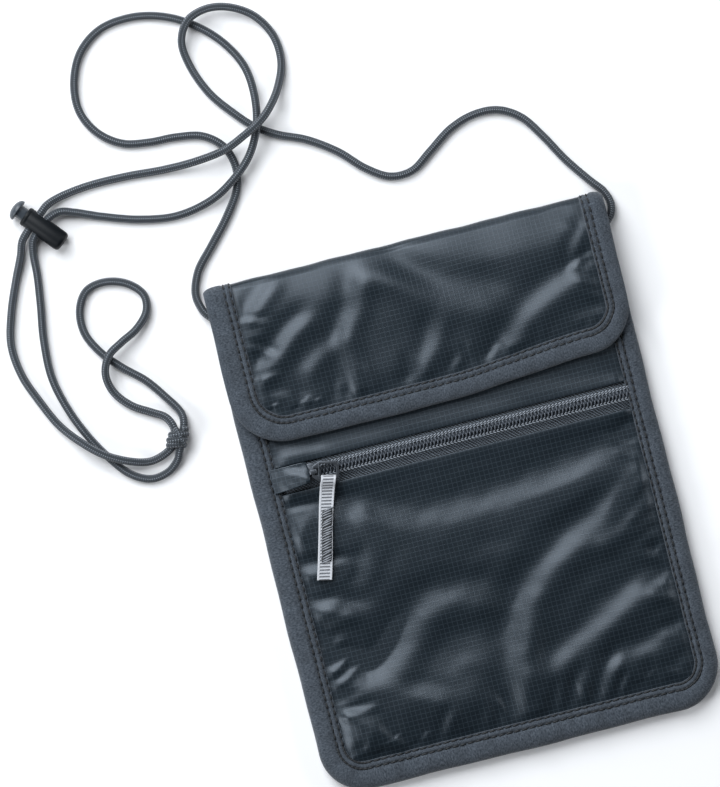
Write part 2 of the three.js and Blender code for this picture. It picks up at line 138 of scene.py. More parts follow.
def sewnSheet(name, columns, rows, place, thickness=0.3):
    # cloth with its real thickness, in mm
    sheet = gridSheet(name, columns, rows, place)
    applyModifier(sheet, "SOLIDIFY", thickness=thickness * mm, offset=-1)
    return sheet


def stack(*columns):
    return np.stack(np.broadcast_arrays(*columns), axis=-1)


def runAlong(points):
    # distance run from the first point to each one
    steps = np.linalg.norm(np.diff(points, axis=0), axis=1)
    return np.concatenate([[0], np.cumsum(steps)])


def smoothPath(points, spacing):
    # a centripetal curve through the points, cut into steps of about one spacing, in mm
    pts = np.array(points, float)
    pts = np.vstack([2 * pts[0] - pts[1], pts, 2 * pts[-1] - pts[-2]])
    fine = []
    for i in range(1, len(pts) - 2):
        p0, p1, p2, p3 = pts[i - 1 : i + 3]
        t0 = 0.0
        t1 = t0 + math.sqrt(np.linalg.norm(p1 - p0))
        t2 = t1 + math.sqrt(np.linalg.norm(p2 - p1))
        t3 = t2 + math.sqrt(np.linalg.norm(p3 - p2))
        for t in np.linspace(t1, t2, 24, endpoint=False):
            a1 = (t1 - t) / (t1 - t0) * p0 + (t - t0) / (t1 - t0) * p1
            a2 = (t2 - t) / (t2 - t1) * p1 + (t - t1) / (t2 - t1) * p2
            a3 = (t3 - t) / (t3 - t2) * p2 + (t - t2) / (t3 - t2) * p3
            b1 = (t2 - t) / (t2 - t0) * a1 + (t - t0) / (t2 - t0) * a2
            b2 = (t3 - t) / (t3 - t1) * a2 + (t - t1) / (t3 - t1) * a3
            fine.append((t2 - t) / (t2 - t1) * b1 + (t - t1) / (t2 - t1) * b2)
    fine.append(pts[-2])
    fine = np.array(fine)
    along = runAlong(fine)
    steps = max(2, int(round(along[-1] / spacing)))
    even = np.linspace(0, along[-1], steps + 1)
    return np.stack([np.interp(even, along, fine[:, k]) for k in range(3)], axis=1), along[-1]


def framesAlong(path):
    # side and top direction at each point of a path, turning as little as they can
    tangents = np.gradient(path, axis=0)
    tangents /= np.linalg.norm(tangents, axis=1)[:, None]
    side = np.cross(np.array([0, 0, 1.0]), tangents[0])
    if np.linalg.norm(side) < 1e-6:
        side = np.array([1.0, 0, 0])
    sides = []
    for tangent in tangents:
        side = side - tangent * np.dot(side, tangent)
        side = side / np.linalg.norm(side)
        sides.append(side)
    sides = np.array(sides)
    return sides, np.cross(tangents, sides)


def tube(name, path, radius, sides, flatten=1.0):
    # a round cord along a path in mm; its cloth coordinates run round it and along it
    path = np.array(path, float)
    across, tops = framesAlong(path)
    steps = len(path) - 1
    lengths = runAlong(path)
    radii = np.broadcast_to(np.array(radius, float), (len(path),))

    def place(s, t):
        row = np.rint(s * steps).astype(int)
        angle = t * 2 * math.pi
        r = radii[row][:, None]
        ring = across[row] * np.cos(angle)[:, None] + tops[row] * np.sin(angle)[:, None] * flatten
        return path[row] + ring * r, stack(t * 2 * math.pi * radii[row], lengths[row])

    return gridSheet(name, steps, sides, place, closed=True)


def copiesOf(template, name, places):
    # one mesh made of copies of the template, each at a place given as a 3 by 4 matrix in mm
    base = np.empty(len(template.data.vertices) * 3)
    template.data.vertices.foreach_get("co", base)
    base = base.reshape(-1, 3) / mm
    faces = [list(face.vertices) for face in template.data.polygons]
    vertices = []
    polygons = []
    for count, place in enumerate(places):
        vertices.append(base @ place[:, :3].T + place[:, 3])
        polygons.extend([[v + count * len(base) for v in face] for face in faces])
    mesh = bpy.data.meshes.new(name)
    mesh.from_pydata((np.vstack(vertices) * mm).tolist(), [], polygons)
    mesh.update()
    obj = bpy.data.objects.new(name, mesh)
    bpy.context.collection.objects.link(obj)
    bpy.data.objects.remove(template)
    return obj


# camera and floor

view = {
    "centre": (-28.1, 45.2, 0.0),
    "turn": -14.1,
    "height": 288.0,
    "lens": 220.0,
    "sensor": 36.0,
}


def addCamera():
    data = bpy.data.cameras.new("overheadCamera")
    data.lens = view["lens"]
    data.sensor_width = view["sensor"]
    camera = bpy.data.objects.new("overheadCamera", data)
    bpy.context.collection.objects.link(camera)
    distance = view["height"] * view["lens"] / view["sensor"]
    x, y, z = view["centre"]
    camera.location = (x * mm, y * mm, (z + distance) * mm)
    camera.rotation_euler = (0, 0, math.radians(view["turn"]))
    data.clip_end = 20
    bpy.context.scene.camera = camera


addCamera()
print("camera ready")


# materials


def rgb(code):
    parts = [int(code[i : i + 2], 16) / 255 for i in (1, 3, 5)]
    return [p / 12.92 if p <= 0.04045 else ((p + 0.055) / 1.055) ** 2.4 for p in parts] + [1.0]


def addNode(tree, kind, settings=None, inputs=None):
    # settings are the node's own; an input is a number, a colour or the socket that feeds it
    node = tree.nodes.new(kind)
    for key, value in (settings or {}).items():
        setattr(node, key, value)
    for key, value in (inputs or {}).items():
        if isinstance(value, bpy.types.NodeSocket):
            tree.links.new(value, node.inputs[key])
        else:
            node.inputs[key].default_value = value
    return node


def calculate(tree, operation, *values):
    return addNode(tree, "ShaderNodeMath", {"operation": operation}, dict(enumerate(values))).outputs[0]


def remap(tree, value, low, high, newLow, newHigh, **settings):
    inputs = {0: value, 1: low, 2: high, 3: newLow, 4: newHigh}
    return addNode(tree, "ShaderNodeMapRange", settings, inputs).outputs[0]


def mixColours(tree, factor, first, second, **settings):
    inputs = {0: factor, 6: first, 7: second}
    return addNode(tree, "ShaderNodeMix", {"data_type": "RGBA", **settings}, inputs).outputs[2]


def noise(tree, place, scale, detail, roughness=0.5):
    inputs = {"Vector": place, "Scale": scale, "Detail": detail, "Roughness": roughness}
    return addNode(tree, "ShaderNodeTexNoise", None, inputs).outputs[0]


def bands(tree, place, direction, scale, distortion):
    inputs = {"Vector": place, "Scale": scale, "Distortion": distortion}
    return addNode(tree, "ShaderNodeTexWave", {"bands_direction": direction}, inputs).outputs["Fac"]


def colourRamp(tree, value, *stops):
    # stops are (position, colour), from low to high
    ramp = addNode(tree, "ShaderNodeValToRGB", None, {0: value})
    elements = ramp.color_ramp.elements
    for position, code in stops[1:-1]:
        elements.new(position)
    for element, (position, code) in zip(elements, stops):
        element.position = position
        element.color = rgb(code)
    return ramp.outputs[0]


def clothPlace(tree):
    return addNode(tree, "ShaderNodeUVMap").outputs["UV"]


def startMaterial(name, roughness, metallic=0.0, **surface):
    # surface names the shader's other inputs, with _ for a space
    material = bpy.data.materials.new(name)
    material.use_nodes = True
    tree = material.node_tree
    shader = tree.nodes["Principled BSDF"]
    shader.inputs["Roughness"].default_value = roughness
    shader.inputs["Metallic"].default_value = metallic
    for key, value in surface.items():
        shader.inputs[key.replace("_", " ")].default_value = value
    return material, tree


def finishMaterial(material, colour, relief, strength, depth):
    # gives a material its colour and a relief of the stated depth, in mm
    tree = material.node_tree
    shader = tree.nodes["Principled BSDF"]
    tree.links.new(colour, shader.inputs["Base Color"])
    inputs = {"Strength": strength, "Distance": depth * mm, "Height": relief}
    bump = addNode(tree, "ShaderNodeBump", None, inputs)
    tree.links.new(bump.outputs[0], shader.inputs["Normal"])
    return material


def ripstopNylon():
    # coated plain weave with a thicker thread every few millimetres, which shows as a fine grid; the
    # grid's paler colour is partly the thread's own and partly a painted sheen where the thicker thread
    # catches light
    look = {
        "square": 1.75, "line": 0.14, "weave": 0.58,
        "dark": "#0c151b", "pale": "#141e25", "thread": "#2b353d",
    }
    material, tree = startMaterial(
        "ripstopNylon", 0.41, Specular_IOR_Level=0.62, Specular_Tint=(0.8, 0.89, 1.0, 1.0)
    )
    uv = clothPlace(tree)
    parts = addNode(tree, "ShaderNodeSeparateXYZ", None, {0: uv})
    thin, thick = look["line"] * 0.4, look["line"]
    lines = []
    for axis in ("X", "Y"):
        near = calculate(tree, "PINGPONG", parts.outputs[axis], look["square"] / 2)
        lines.append(remap(tree, near, thin, thick, 1.0, 0.0, interpolation_type="SMOOTHSTEP"))
    grid = calculate(tree, "MAXIMUM", *lines)
    patchy = noise(tree, uv, 0.35, 3.0)
    gaps = remap(tree, noise(tree, uv, 1.3, 2.0), 0.3, 0.6, 0.55, 1.0)
    shade = mixColours(tree, patchy, rgb(look["dark"]), rgb(look["pale"]))
    # paler grid lines: partly the thread's own colour, partly painted sheen
    colour = mixColours(tree, calculate(tree, "MULTIPLY", grid, gaps), shade, rgb(look["thread"]))
    weave = [bands(tree, uv, direction, 2 / (3.2 * look["weave"]), 0.6) for direction in ("X", "Y")]
    relief = calculate(tree, "MULTIPLY_ADD", calculate(tree, "MULTIPLY", *weave), 0.35, grid)
    return finishMaterial(material, colour, relief, 0.4, 0.035)


def brushedKnit():
    # soft raised knit: no gloss, a pale nap at the edges and tiny bright fibres
    material, tree = startMaterial(
        "brushedKnit", 0.95, Sheen_Weight=0.18, Sheen_Roughness=0.5, Specular_IOR_Level=0.2
    )
    uv = clothPlace(tree)
    nap = noise(tree, uv, 1.9, 4.0, 0.7)
    fibres = colourRamp(tree, nap, (0.34, "#262c34"), (0.72, "#5a626b"))
    grey = remap(tree, noise(tree, uv, 0.25, 2.0), 0.3, 0.7, 0.7, 1.25)
    tint = mixColours(tree, 0.5, fibres, grey, blend_type="MULTIPLY")
    return finishMaterial(material, tint, nap, 0.7, 0.25)


def braidedPolyester():
    # round braid: ribs of small slanted stitches, with a painted highlight where each one crests and
    # painted shade in the gaps between them
    ribs = 12
    girth = math.pi * 2.9
    pitch = 0.8
    material, tree = startMaterial("braidedPolyester", 0.8, Sheen_Weight=0.2)
    parts = addNode(tree, "ShaderNodeSeparateXYZ", None, {0: clothPlace(tree)})
    rib = calculate(tree, "MULTIPLY", parts.outputs["X"], ribs / girth)
    inRib = calculate(tree, "PINGPONG", rib, 0.5)
    slant = calculate(tree, "MULTIPLY_ADD", parts.outputs["Y"], 1 / pitch, inRib)
    crest = remap(tree, calculate(tree, "PINGPONG", slant, 0.5), 0.1, 0.5, 0.0, 1.0)
    dome = remap(tree, inRib, 0.0, 0.28, 0.0, 1.0)
    stitchHeight = calculate(tree, "MULTIPLY", crest, dome)
    # a groove down the cord every few ribs, which the colour below darkens as painted shade
    groove = calculate(tree, "PINGPONG", rib, ribs / 10)
    between = remap(tree, groove, 0.15, 0.75, 0.25, 1.0)
    height = calculate(tree, "MULTIPLY", stitchHeight, between)
    # colour follows the relief: pale is painted highlight on the crests, dark is painted shade in the
    # gaps and grooves
    colour = colourRamp(tree, height, (0.0, "#1a2026"), (0.5, "#4c545d"), (1.0, "#a3a9b1"))
    return finishMaterial(material, colour, height, 0.6, 0.12)


def grosgrainRibbon():
    # polyester ribbon with a rib across it every 1.2 mm and paler woven edges; the dark colour between
    # the ribs is painted shade
    material, tree = startMaterial("grosgrainRibbon", 0.6, Sheen_Weight=0.3)
    parts = addNode(tree, "ShaderNodeSeparateXYZ", None, {0: clothPlace(tree)})
    dip = remap(tree, calculate(tree, "PINGPONG", parts.outputs["Y"], 0.6), 0.05, 0.35, 0.0, 1.0)
    selvedge = remap(tree, calculate(tree, "ABSOLUTE", parts.outputs["X"]), 1.75, 2.0, 0.0, 1.0)
    height = calculate(tree, "MAXIMUM", dip, selvedge)
    # dark where the relief is low: painted shade in the grooves between the ribs
    colour = mixColours(tree, height, rgb("#4a4f57"), rgb("#c3c6cc"))
    return finishMaterial(material, colour, height, 0.9, 0.3)


def wovenTape():
    # zip tape: close herringbone ribs that run along it, dull, with bright filaments
    material, tree = startMaterial("wovenTape", 0.75)
    uv = clothPlace(tree)
    ribs = bands(tree, uv, "Y", 0.6, 3.0)
    both = calculate(tree, "MULTIPLY", ribs, bands(tree, uv, "DIAGONAL", 0.5, 3.0))
    colour = colourRamp(tree, both, (0.08, "#0b1117"), (0.6, "#5f6974"))
    return finishMaterial(material, colour, both, 0.6, 0.15)


def plainFinish(name, dark, pale, roughness, metallic=0.0, grain=2.0, depth=0.05, **surface):
    # a base finish with a fine grain: grain is in grains per mm, depth in mm
    material, tree = startMaterial(name, roughness, metallic, **surface)
    place = addNode(tree, "ShaderNodeTexCoord").outputs["Object"]
    speckle = noise(tree, place, grain / mm, 3.0, 0.6)
    return finishMaterial(material, mixColours(tree, speckle, rgb(dark), rgb(pale)), speckle, 0.6, depth)


ripstop = ripstopNylon()
knit = brushedKnit()
braid = braidedPolyester()
grosgrain = grosgrainRibbon()
zipTape = wovenTape()
coilNylon = plainFinish("monofilamentNylon", "#282e35", "#59606a", 0.35, grain=1.0, depth=0.01)
lockNylon = plainFinish(
    "mouldedNylon", "#04080c", "#0b1117", 0.5, grain=4.0, depth=0.02, Specular_IOR_Level=0.22
)
buttonNylon = plainFinish("mouldedNylonButton", "#30373e", "#434a52", 0.4, grain=4.0, depth=0.02)
darkZinc = plainFinish("platedZinc", "#44494f", "#60656c", 0.38, metallic=0.75, grain=3.0, depth=0.01)
springSteel = plainFinish("springSteel", "#8f9297", "#a9acb0", 0.28, metallic=1.0, grain=1.0, depth=0.005)
liningWeave = plainFinish("plainLining", "#14181e", "#232830", 0.7, grain=2.2, depth=0.06)
# near-black thread: its own dark colour, darkened further as painted shade of the dips the stitches sink
# into
darkThreadAndShade = plainFinish("sewingThreadAndShade", "#05080b", "#191e23", 0.6, grain=2.0, depth=0.02)
tackThread = plainFinish("barTackThread", "#454a51", "#a5aab2", 0.5, grain=1.3, depth=0.02)
chainThread = plainFinish("chainThread", "#666e78", "#aab1ba", 0.5, grain=2.0, depth=0.02)
hookStrip = plainFinish("mouldedHooks", "#0b0d10", "#1d2024", 0.6, grain=1.6, depth=0.3)
loopStrip = plainFinish("brushedLoops", "#0d1014", "#24282e", 0.95, grain=1.2, depth=0.3)
print("materials ready")


# neck cord

cordDiameter = 2.9
leftRoute = [
    (-72.6, 84.1, 3), (-75.4, 86.8, 3), (-77, 90.3, 2.6), (-77.6, 95.2, 1.7), (-74.6, 103, 1.5),
    (-67.5, 111, 1.5), (-59.5, 120, 1.5), (-53.5, 129, 1.5), (-52, 137, 1.5), (-54.5, 145, 1.5),
    (-61, 150.5, 1.5), (-70.5, 152.5, 1.5), (-80, 153, 1.5), (-90, 155, 1.5), (-98, 161, 1.5),
    (-102.5, 170, 1.5), (-102, 180.5, 1.5), (-97, 191, 1.5), (-88, 197.5, 1.5), (-76, 199, 1.5),
    (-64.5, 196.5, 1.5), (-54, 190.5, 1.5), (-45.5, 182, 1.5), (-40, 171.5, 2.4), (-39, 160, 4.4),
    (-41, 149, 4.9), (-46, 139.5, 4.9), (-53.5, 132.5, 5), (-63.5, 127, 2.6), (-77, 124.5, 1.5),
    (-90.5, 126.5, 1.5), (-104, 131, 1.5), (-113.2, 134.8, 2.1), (-118.4, 136.3, 3.2),
    (-123.1, 134.9, 3.8),
]
lowerRoute = [
    (-129.3, 129.9, 3.8), (-130.7, 127.6, 3.4), (-131.5, 123.5, 2.2), (-132, 116, 1.5),
    (-133.5, 105, 1.5), (-135.5, 92.5, 1.5), (-136, 78.5, 1.5), (-133.5, 67, 1.5),
    (-129, 55.5, 1.5), (-123, 45, 1.5), (-116.5, 37, 1.5), (-109.5, 33.5, 1.5), (-103, 34.5, 1.6),
    (-98.6, 38, 2.6), (-97.3, 40.5, 3.4),
]
loopRoute = [
    (-93.1, 50.5, 3.4), (-93.3, 54.5, 2), (-97.5, 61.5, 1.5), (-103, 69, 1.5), (-110, 75.5, 1.5),
    (-116.5, 83, 1.5), (-120.5, 91.5, 1.5), (-120, 100, 1.5), (-116, 106, 1.5), (-109, 107.5, 1.5),
    (-101, 105, 1.5), (-96, 99.5, 1.5), (-96.5, 93.5, 1.8), (-101.5, 88, 3.2), (-108, 84.5, 4.9),
    (-113.5, 81, 4.9), (-116.5, 75, 4), (-115.5, 68, 1.9), (-110.5, 61.5, 1.5), (-103.5, 57, 1.7),
    (-99.2, 54.2, 2.4), (-97.2, 50.4, 3.3), (-97.4, 46.2, 3.4),
]
upperRoute = [
    (-99.6, 43, 3.3), (-103.2, 40.9, 2.4), (-108.8, 39.8, 2), (-116.5, 42, 4.2), (-124.5, 46.5, 5),
    (-131, 52.5, 4.4), (-137.5, 60.5, 2), (-142.5, 71, 1.5), (-146.5, 82, 1.5), (-147.5, 93.5, 1.5),
    (-144.5, 105, 1.5), (-140, 116, 1.5), (-136, 124.5, 2.4), (-134.3, 129, 3.3),
    (-131.6, 132, 3.8),
]
rightRoute = [
    (-125.1, 137.5, 3.8), (-122.4, 139.7, 3.2), (-117.5, 141.5, 1.8), (-106.5, 143, 1.5),
    (-92, 143, 1.5), (-77.5, 142, 1.9), (-65, 142, 4.4), (-54, 143.5, 5.6), (-46.5, 146.5, 8.2),
    (-40.5, 149.5, 8.8), (-35.5, 153.5, 7.6), (-30, 161, 3), (-26.5, 170, 1.5), (-27, 180, 1.5),
    (-32.5, 189, 2.2), (-41, 194, 4.2), (-49, 195, 5.2), (-56, 192.5, 5.2), (-60, 186, 3.4),
    (-59.5, 177.5, 1.6), (-55, 165.5, 1.5), (-48.5, 156.5, 1.5), (-42, 149.5, 1.5),
    (-34.5, 144.5, 1.5), (-24.5, 140, 1.5), (-14.5, 133, 1.5), (-6, 124.5, 1.5), (2, 119.5, 1.5),
    (10, 119.5, 1.5), (18.5, 125, 1.5), (27.5, 131, 1.5), (37, 134, 1.5), (46, 133.5, 1.5),
    (53.5, 129, 1.5), (59.5, 120.5, 1.5), (65.5, 110, 1.5), (72.2, 100.5, 1.5), (76.3, 95.2, 1.7),
    (77.7, 90.6, 2.2), (77, 87, 2.8), (75.4, 84.9, 3), (72.6, 82.6, 3),
]


def makeCord():
    route = [(-69, 82.1, 3)] + leftRoute + lowerRoute + loopRoute + upperRoute + rightRoute
    route.append((69, 81, 3))
    path, length = smoothPath(route, 0.9)
    cord = tube("neck_cord", path, cordDiameter / 2, sides=16)
    finishPiece(
        cord, braid, "pouch",
        ["cord_left", "cord_lower", "cord_end_loop", "cord_upper", "cord_right"],
    )
    return cord, path, length


neckCord, cordPath, cordLength = makeCord()
print("cord ready,", round(cordLength), "mm")


# shared shape of the pouch

bodyLow, bodyHigh = boxMm("body_binding")
lowerLow, lowerHigh = boxMm("front_lower_panel")
upperLow, upperHigh = boxMm("front_upper_panel")
flapLow, flapHigh = boxMm("flap_binding")
flapPanelLow, flapPanelHigh = boxMm("flap_panel")
foldLow, foldHigh = boxMm("fold_binding_left")
tapeTop = boxMm("zip_tape_upper")[1][2]
coilLow, coilHigh = boxMm("zip_coil_upper")

clearance = 0.3
seamTuck = 2.2  # cloth that lies under a binding
stationSpacing = 0.72
innerLeft = lowerLow[0] - clearance
innerRight = lowerHigh[0] + clearance
innerBottom = lowerLow[1] - clearance
foldRadius = (foldHigh[2] - foldLow[2]) / 2
foldY = foldHigh[1] - foldRadius
zipY = (coilLow[1] + boxMm("zip_coil_lower")[1][1]) / 2
windowTop = upperLow[1]
windowBottom = lowerHigh[1]
random = np.random.default_rng(7)


def waves(x, y, count, longest, shortest, height):
    # soft crumple: a few crossing waves of random direction and length, in mm
    total = np.zeros_like(x)
    for _ in range(count):
        angle = random.uniform(0, math.pi)
        length = random.uniform(shortest, longest)
        phase = random.uniform(0, 2 * math.pi)
        total += np.sin((x * math.cos(angle) + y * math.sin(angle)) * 2 * math.pi / length + phase)
    return total * height / math.sqrt(count)


uphill = np.array([0.39, -0.92])  # every fold's crest lies on this side of its steep line


def foldHeight(x, y, folds):
    # each fold is the line of its steep flank, its half width and its height, all in mm
    total = np.zeros_like(x)
    for points, width, height in folds:
        line = smoothPath([(px, py, 0) for px, py in points], max(1.5, width * 0.6))[0][:, :2]
        nearest = np.full_like(x, 1e9)
        offset = np.zeros_like(x)
        beyond = np.zeros_like(x)
        for i in range(len(line) - 1):
            way = line[i + 1] - line[i]
            span = np.hypot(*way)
            way = way / span
            normal = np.array([-way[1], way[0]])
            if normal @ uphill < 0:
                normal = -normal
            along = (x - line[i][0]) * way[0] + (y - line[i][1]) * way[1]
            across = (x - line[i][0]) * normal[0] + (y - line[i][1]) * normal[1]
            over = np.maximum(np.maximum(-along, along - span), 0)
            distance = np.hypot(across, over)
            closer = distance < nearest
            nearest = np.where(closer, distance, nearest)
            atEnd = (i == 0) * (along < 0) + (i == len(line) - 2) * (along > span) > 0
            signed = np.where(atEnd, across, np.sign(across) * distance)
            offset = np.where(closer, signed, offset)
            beyond = np.where(closer, over * atEnd, beyond)
        crest = np.exp(-(((offset - 0.8 * width) / width) ** 2))
        hollow = np.exp(-(((offset + 0.8 * width) / width) ** 2))
        total += height * (0.6 * crest - 0.5 * hollow) * np.exp(-((beyond / (1.6 * width)) ** 2))
    return total


def seamFolds(start, end, inward, count, reach, width, height, seed):
    # short random folds that run in from a seam
    rng = np.random.default_rng(seed)
    start, end, inward = np.array(start, float), np.array(end, float), np.array(inward, float)
    side = (end - start) / np.linalg.norm(end - start)
    folds = []
    for k in range(count):
        foot = start + (end - start) * (k + rng.uniform(0.1, 0.9)) / count
        far = reach * rng.uniform(0.45, 1.25)
        lean = rng.uniform(-0.55, 0.55)
        tip = foot + inward * far + side * lean * far
        middle = foot + inward * far * 0.5 + side * lean * far * 0.35
        size = width * rng.uniform(0.7, 1.35)
        line = [tuple(foot - inward), tuple(middle), tuple(tip)]
        folds.append((line, size, height * rng.uniform(0.5, 1.4)))
    return folds


# edge bindings


class EdgePath:
    # stations along an outer edge: point, inward direction, face direction, width and distance run
    def __init__(self):
        self.rows = []

    def add(self, *row):
        self.rows.append([np.array(value, float) for value in row])

    def addLine(self, start, end, inward, face, widths):
        start, end = np.array(start, float), np.array(end, float)
        steps = max(1, int(np.linalg.norm(end - start) / stationSpacing))
        for t in np.arange(steps) / steps:
            width = widths[0] + (widths[1] - widths[0]) * t
            self.add(start + (end - start) * t, inward, face, width)

    def addCorner(self, centre, radius, fromAngle, toAngle, widths):
        steps = max(2, int(abs(toAngle - fromAngle) * radius / stationSpacing))
        for t in np.arange(steps) / steps:
            angle = fromAngle + (toAngle - fromAngle) * t
            outward = np.array([math.cos(angle), math.sin(angle), 0])
            width = widths[0] + (widths[1] - widths[0]) * t
            self.add(np.array(centre) + outward * radius, -outward, (0, 0, 1), width)

    def addFold(self, centre, radius, fromAngle, toAngle, inward, width):
        steps = max(4, int(abs(toAngle - fromAngle) * radius / stationSpacing))
        for t in np.arange(steps) / steps:
            angle = fromAngle + (toAngle - fromAngle) * t
            face = np.array([0, math.cos(angle), math.sin(angle)])
            self.add(np.array(centre) + face * radius, inward, face, width)

    def finish(self):
        points, inward, face, width = [np.array(column) for column in zip(*self.rows)]
        return points, inward, face, width, runAlong(points)


def edgeDrift(run, wobble):
    # a hand-sewn edge wanders a little in width
    return wobble * (np.sin(run / 11.0) + 0.6 * np.sin(run / 4.3 + 1) + 0.5 * np.sin(run / 27.0 + 2))


def ringOf(pairs, width, run):
    # pairs of (distance out from the inner edge, height) as two tables, a row for each station
    insets = [np.broadcast_to(width - out, run.shape) for out, height in pairs]
    heights = [np.broadcast_to(height, run.shape) for out, height in pairs]
    return np.stack(insets, axis=1), np.stack(heights, axis=1)


def bindingStrip(name, stations, profile, wobble):
    # profile(width, run) gives the distances in from the outer edge and the heights, in mm
    points, inward, face, width, run = stations
    insets, heights = profile(width, run)
    count = insets.shape[1]
    drift = edgeDrift(run, wobble)
    steps = len(points) - 1

    def place(s, t):
        row = np.rint(s * steps).astype(int)
        column = np.rint(t * count).astype(int) % count
        inset = insets[row, column]
        height = heights[row, column]
        outer = np.clip(1 - inset / width[row], 0, 1)
        moved = points[row] + inward[row] * (inset + drift[row] * outer)[:, None]
        return moved + face[row] * height[:, None], stack(run[row], t * 2 * width[row])

    strip = gridSheet(name, steps, count, place, closed=True)
    applyModifier(strip, "SUBSURF", levels=1, render_levels=1)
    return strip


stitchPitch = 2.9


def stitchDip(run, depth):
    return depth * (0.55 + 0.45 * np.cos(run * 2 * math.pi / stitchPitch))


bodyEdge = {"corner": 17.0, "left": 10.3, "right": 8.6, "bottom": 10.6, "rim": 6.4}


def bodyProfile(width, run):
    rim = bodyEdge["rim"]
    dip = stitchDip(run, 1.1)
    puff = 0.16 * np.sin(run / 3.1) + 0.12 * np.sin(run / 1.7 + 1)
    pairs = [
        (0.35, rim - 1.3), (0, rim - 0.75), (0.05, rim - 0.2 + puff * 0.4),
        (0.35, rim + 0.05 + puff * 0.4), (0.7, rim - dip), (1.2, rim + 0.15 + puff * 0.5),
        (1.9, rim + 0.3 + puff), (2.5, rim + 0.12 + puff), (2.9, rim - dip), (3.4, rim + 0.2 + puff),
        (4.4, rim + 0.55 + puff), (width - 4.2, rim + 0.6 + puff), (width - 2.8, rim + 0.4 + puff),
        (width - 1.5, rim - 0.15 + puff), (width - 0.6, rim - 1.0), (width - 0.12, rim - 2.0),
        (width, 2.4), (width - 0.25, 1.35), (width - 0.9, 0.6), (width - 2.2, 0.2),
        (width - 4.5, 0.08), (3.5, 0.08), (2.9, 0.5), (2.3, 0.1), (1.3, 0.1), (0.75, 0.5),
        (0.3, 0.2), (0.1, 0.6), (0.5, 1.2),
    ]
    return ringOf(pairs, width, run)


def bodyStations():
    left, right = bodyLow[0], bodyHigh[0]
    bottom = bodyLow[1]
    radius = bodyEdge["corner"]
    top = foldY - 0.4
    up = (0, 0, 1)
    wl, wr, wb = bodyEdge["left"], bodyEdge["right"], bodyEdge["bottom"]
    path = EdgePath()
    path.addLine((left, top, 0), (left, bottom + radius, 0), (1, 0, 0), up, (wl, wl))
    path.addCorner((left + radius, bottom + radius, 0), radius, math.pi, 1.5 * math.pi, (wl, wb))
    path.addLine((left + radius, bottom, 0), (right - radius, bottom, 0), (0, 1, 0), up, (wb, wb))
    path.addCorner((right - radius, bottom + radius, 0), radius, 1.5 * math.pi, 2 * math.pi, (wb, wr))
    path.addLine((right, bottom + radius, 0), (right, top, 0), (-1, 0, 0), up, (wr, wr))
    return path.finish()


bodyPath = bodyStations()
bodyBinding = bindingStrip("body_edge_binding", bodyPath, bodyProfile, 0.16)
finishPiece(
    bodyBinding, knit, "pouch",
    ["body_binding", "cord_anchor_left", "cord_anchor_right"],
)

flapEdge = {
    "left": 10.8, "right": 8.6, "bottom": 9.5, "half": 1.25, "cornerLeft": 20.0, "cornerRight": 17.0,
}


def flapProfile(width, run):
    half = flapEdge["half"]
    dip = stitchDip(run, 0.95)
    puff = 0.14 * np.sin(run / 2.9 + 2) + 0.1 * np.sin(run / 1.6)
    pairs = [
        (0.3, half - 1.5), (0, half - 0.9), (0.05, half - 0.3 + puff * 0.4),
        (0.4, half - 0.05 + puff * 0.4), (0.8, half - 0.1 - dip), (1.3, half + 0.1 + puff * 0.5),
        (2.1, half + 0.2 + puff), (2.9, half - 0.1 - dip), (3.6, half + 0.15 + puff),
        (4.8, half + 0.35 + puff), (width - 3.4, half + 0.3 + puff), (width - 1.9, half + puff),
        (width - 0.8, half - 0.5), (width - 0.15, half - 1.1), (width, -0.35), (width - 0.35, -0.95),
        (width - 1.3, -half + 0.05), (width - 3.2, -half), (3.0, -half), (0.9, -half + 0.05),
        (0.2, -half + 0.35),
    ]
    return ringOf(pairs, width, run)


flapZ = (flapLow[2] + flapHigh[2]) / 2


def flapLift(x, y):
    # the flap's lower edge curves up towards its right corner
    return 4.2 * smoothStep((x - 2) / 60) * smoothStep((74 - y) / 34)


def flapStations():
    left, right = flapLow[0], flapHigh[0]
    bottom = flapLow[1]
    half = flapEdge["half"]
    middle = foldRadius - half - 0.05
    wl, wr, wb = flapEdge["left"], flapEdge["right"], flapEdge["bottom"]
    rl, rr = flapEdge["cornerLeft"], flapEdge["cornerRight"]
    up, down = (0, 0, 1), (0, 0, -1)
    high = foldRadius + middle
    low = foldRadius - middle
    path = EdgePath()
    path.addLine((left, foldY - 4, low), (left, foldY, low), (1, 0, 0), down, (wl, wl))
    path.addFold((left, foldY, foldRadius), middle, -0.5 * math.pi, 0.5 * math.pi, (1, 0, 0), wl)
    path.addLine((left, foldY, high), (left, bottom + rl, flapZ), (1, 0, 0), up, (wl, wl))
    path.addCorner((left + rl, bottom + rl, flapZ), rl, math.pi, 1.5 * math.pi, (wl, wb))
    path.addLine((left + rl, bottom, flapZ), (right - rr, bottom, flapZ), (0, 1, 0), up, (wb, wb))
    path.addCorner((right - rr, bottom + rr, flapZ), rr, 1.5 * math.pi, 2 * math.pi, (wb, wr))
    path.addLine((right, bottom + rr, flapZ), (right, foldY, high), (-1, 0, 0), up, (wr, wr))
    path.addFold((right, foldY, foldRadius), middle, 0.5 * math.pi, -0.5 * math.pi, (-1, 0, 0), wr)
    path.addLine((right, foldY, low), (right, foldY - 4, low), (-1, 0, 0), down, (wr, wr))
    return path.finish()


flapPath = flapStations()
flapPath[0][:, 1] += flapLift(flapPath[0][:, 0], flapPath[0][:, 1])
flapBinding = bindingStrip("flap_edge_binding", flapPath, flapProfile, 0.14)
finishPiece(
    flapBinding, knit, None,
    ["flap_binding", "fold_binding_left", "fold_binding_right"],
)
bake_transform(flapBinding)
print("bindings ready")


# cloth panels

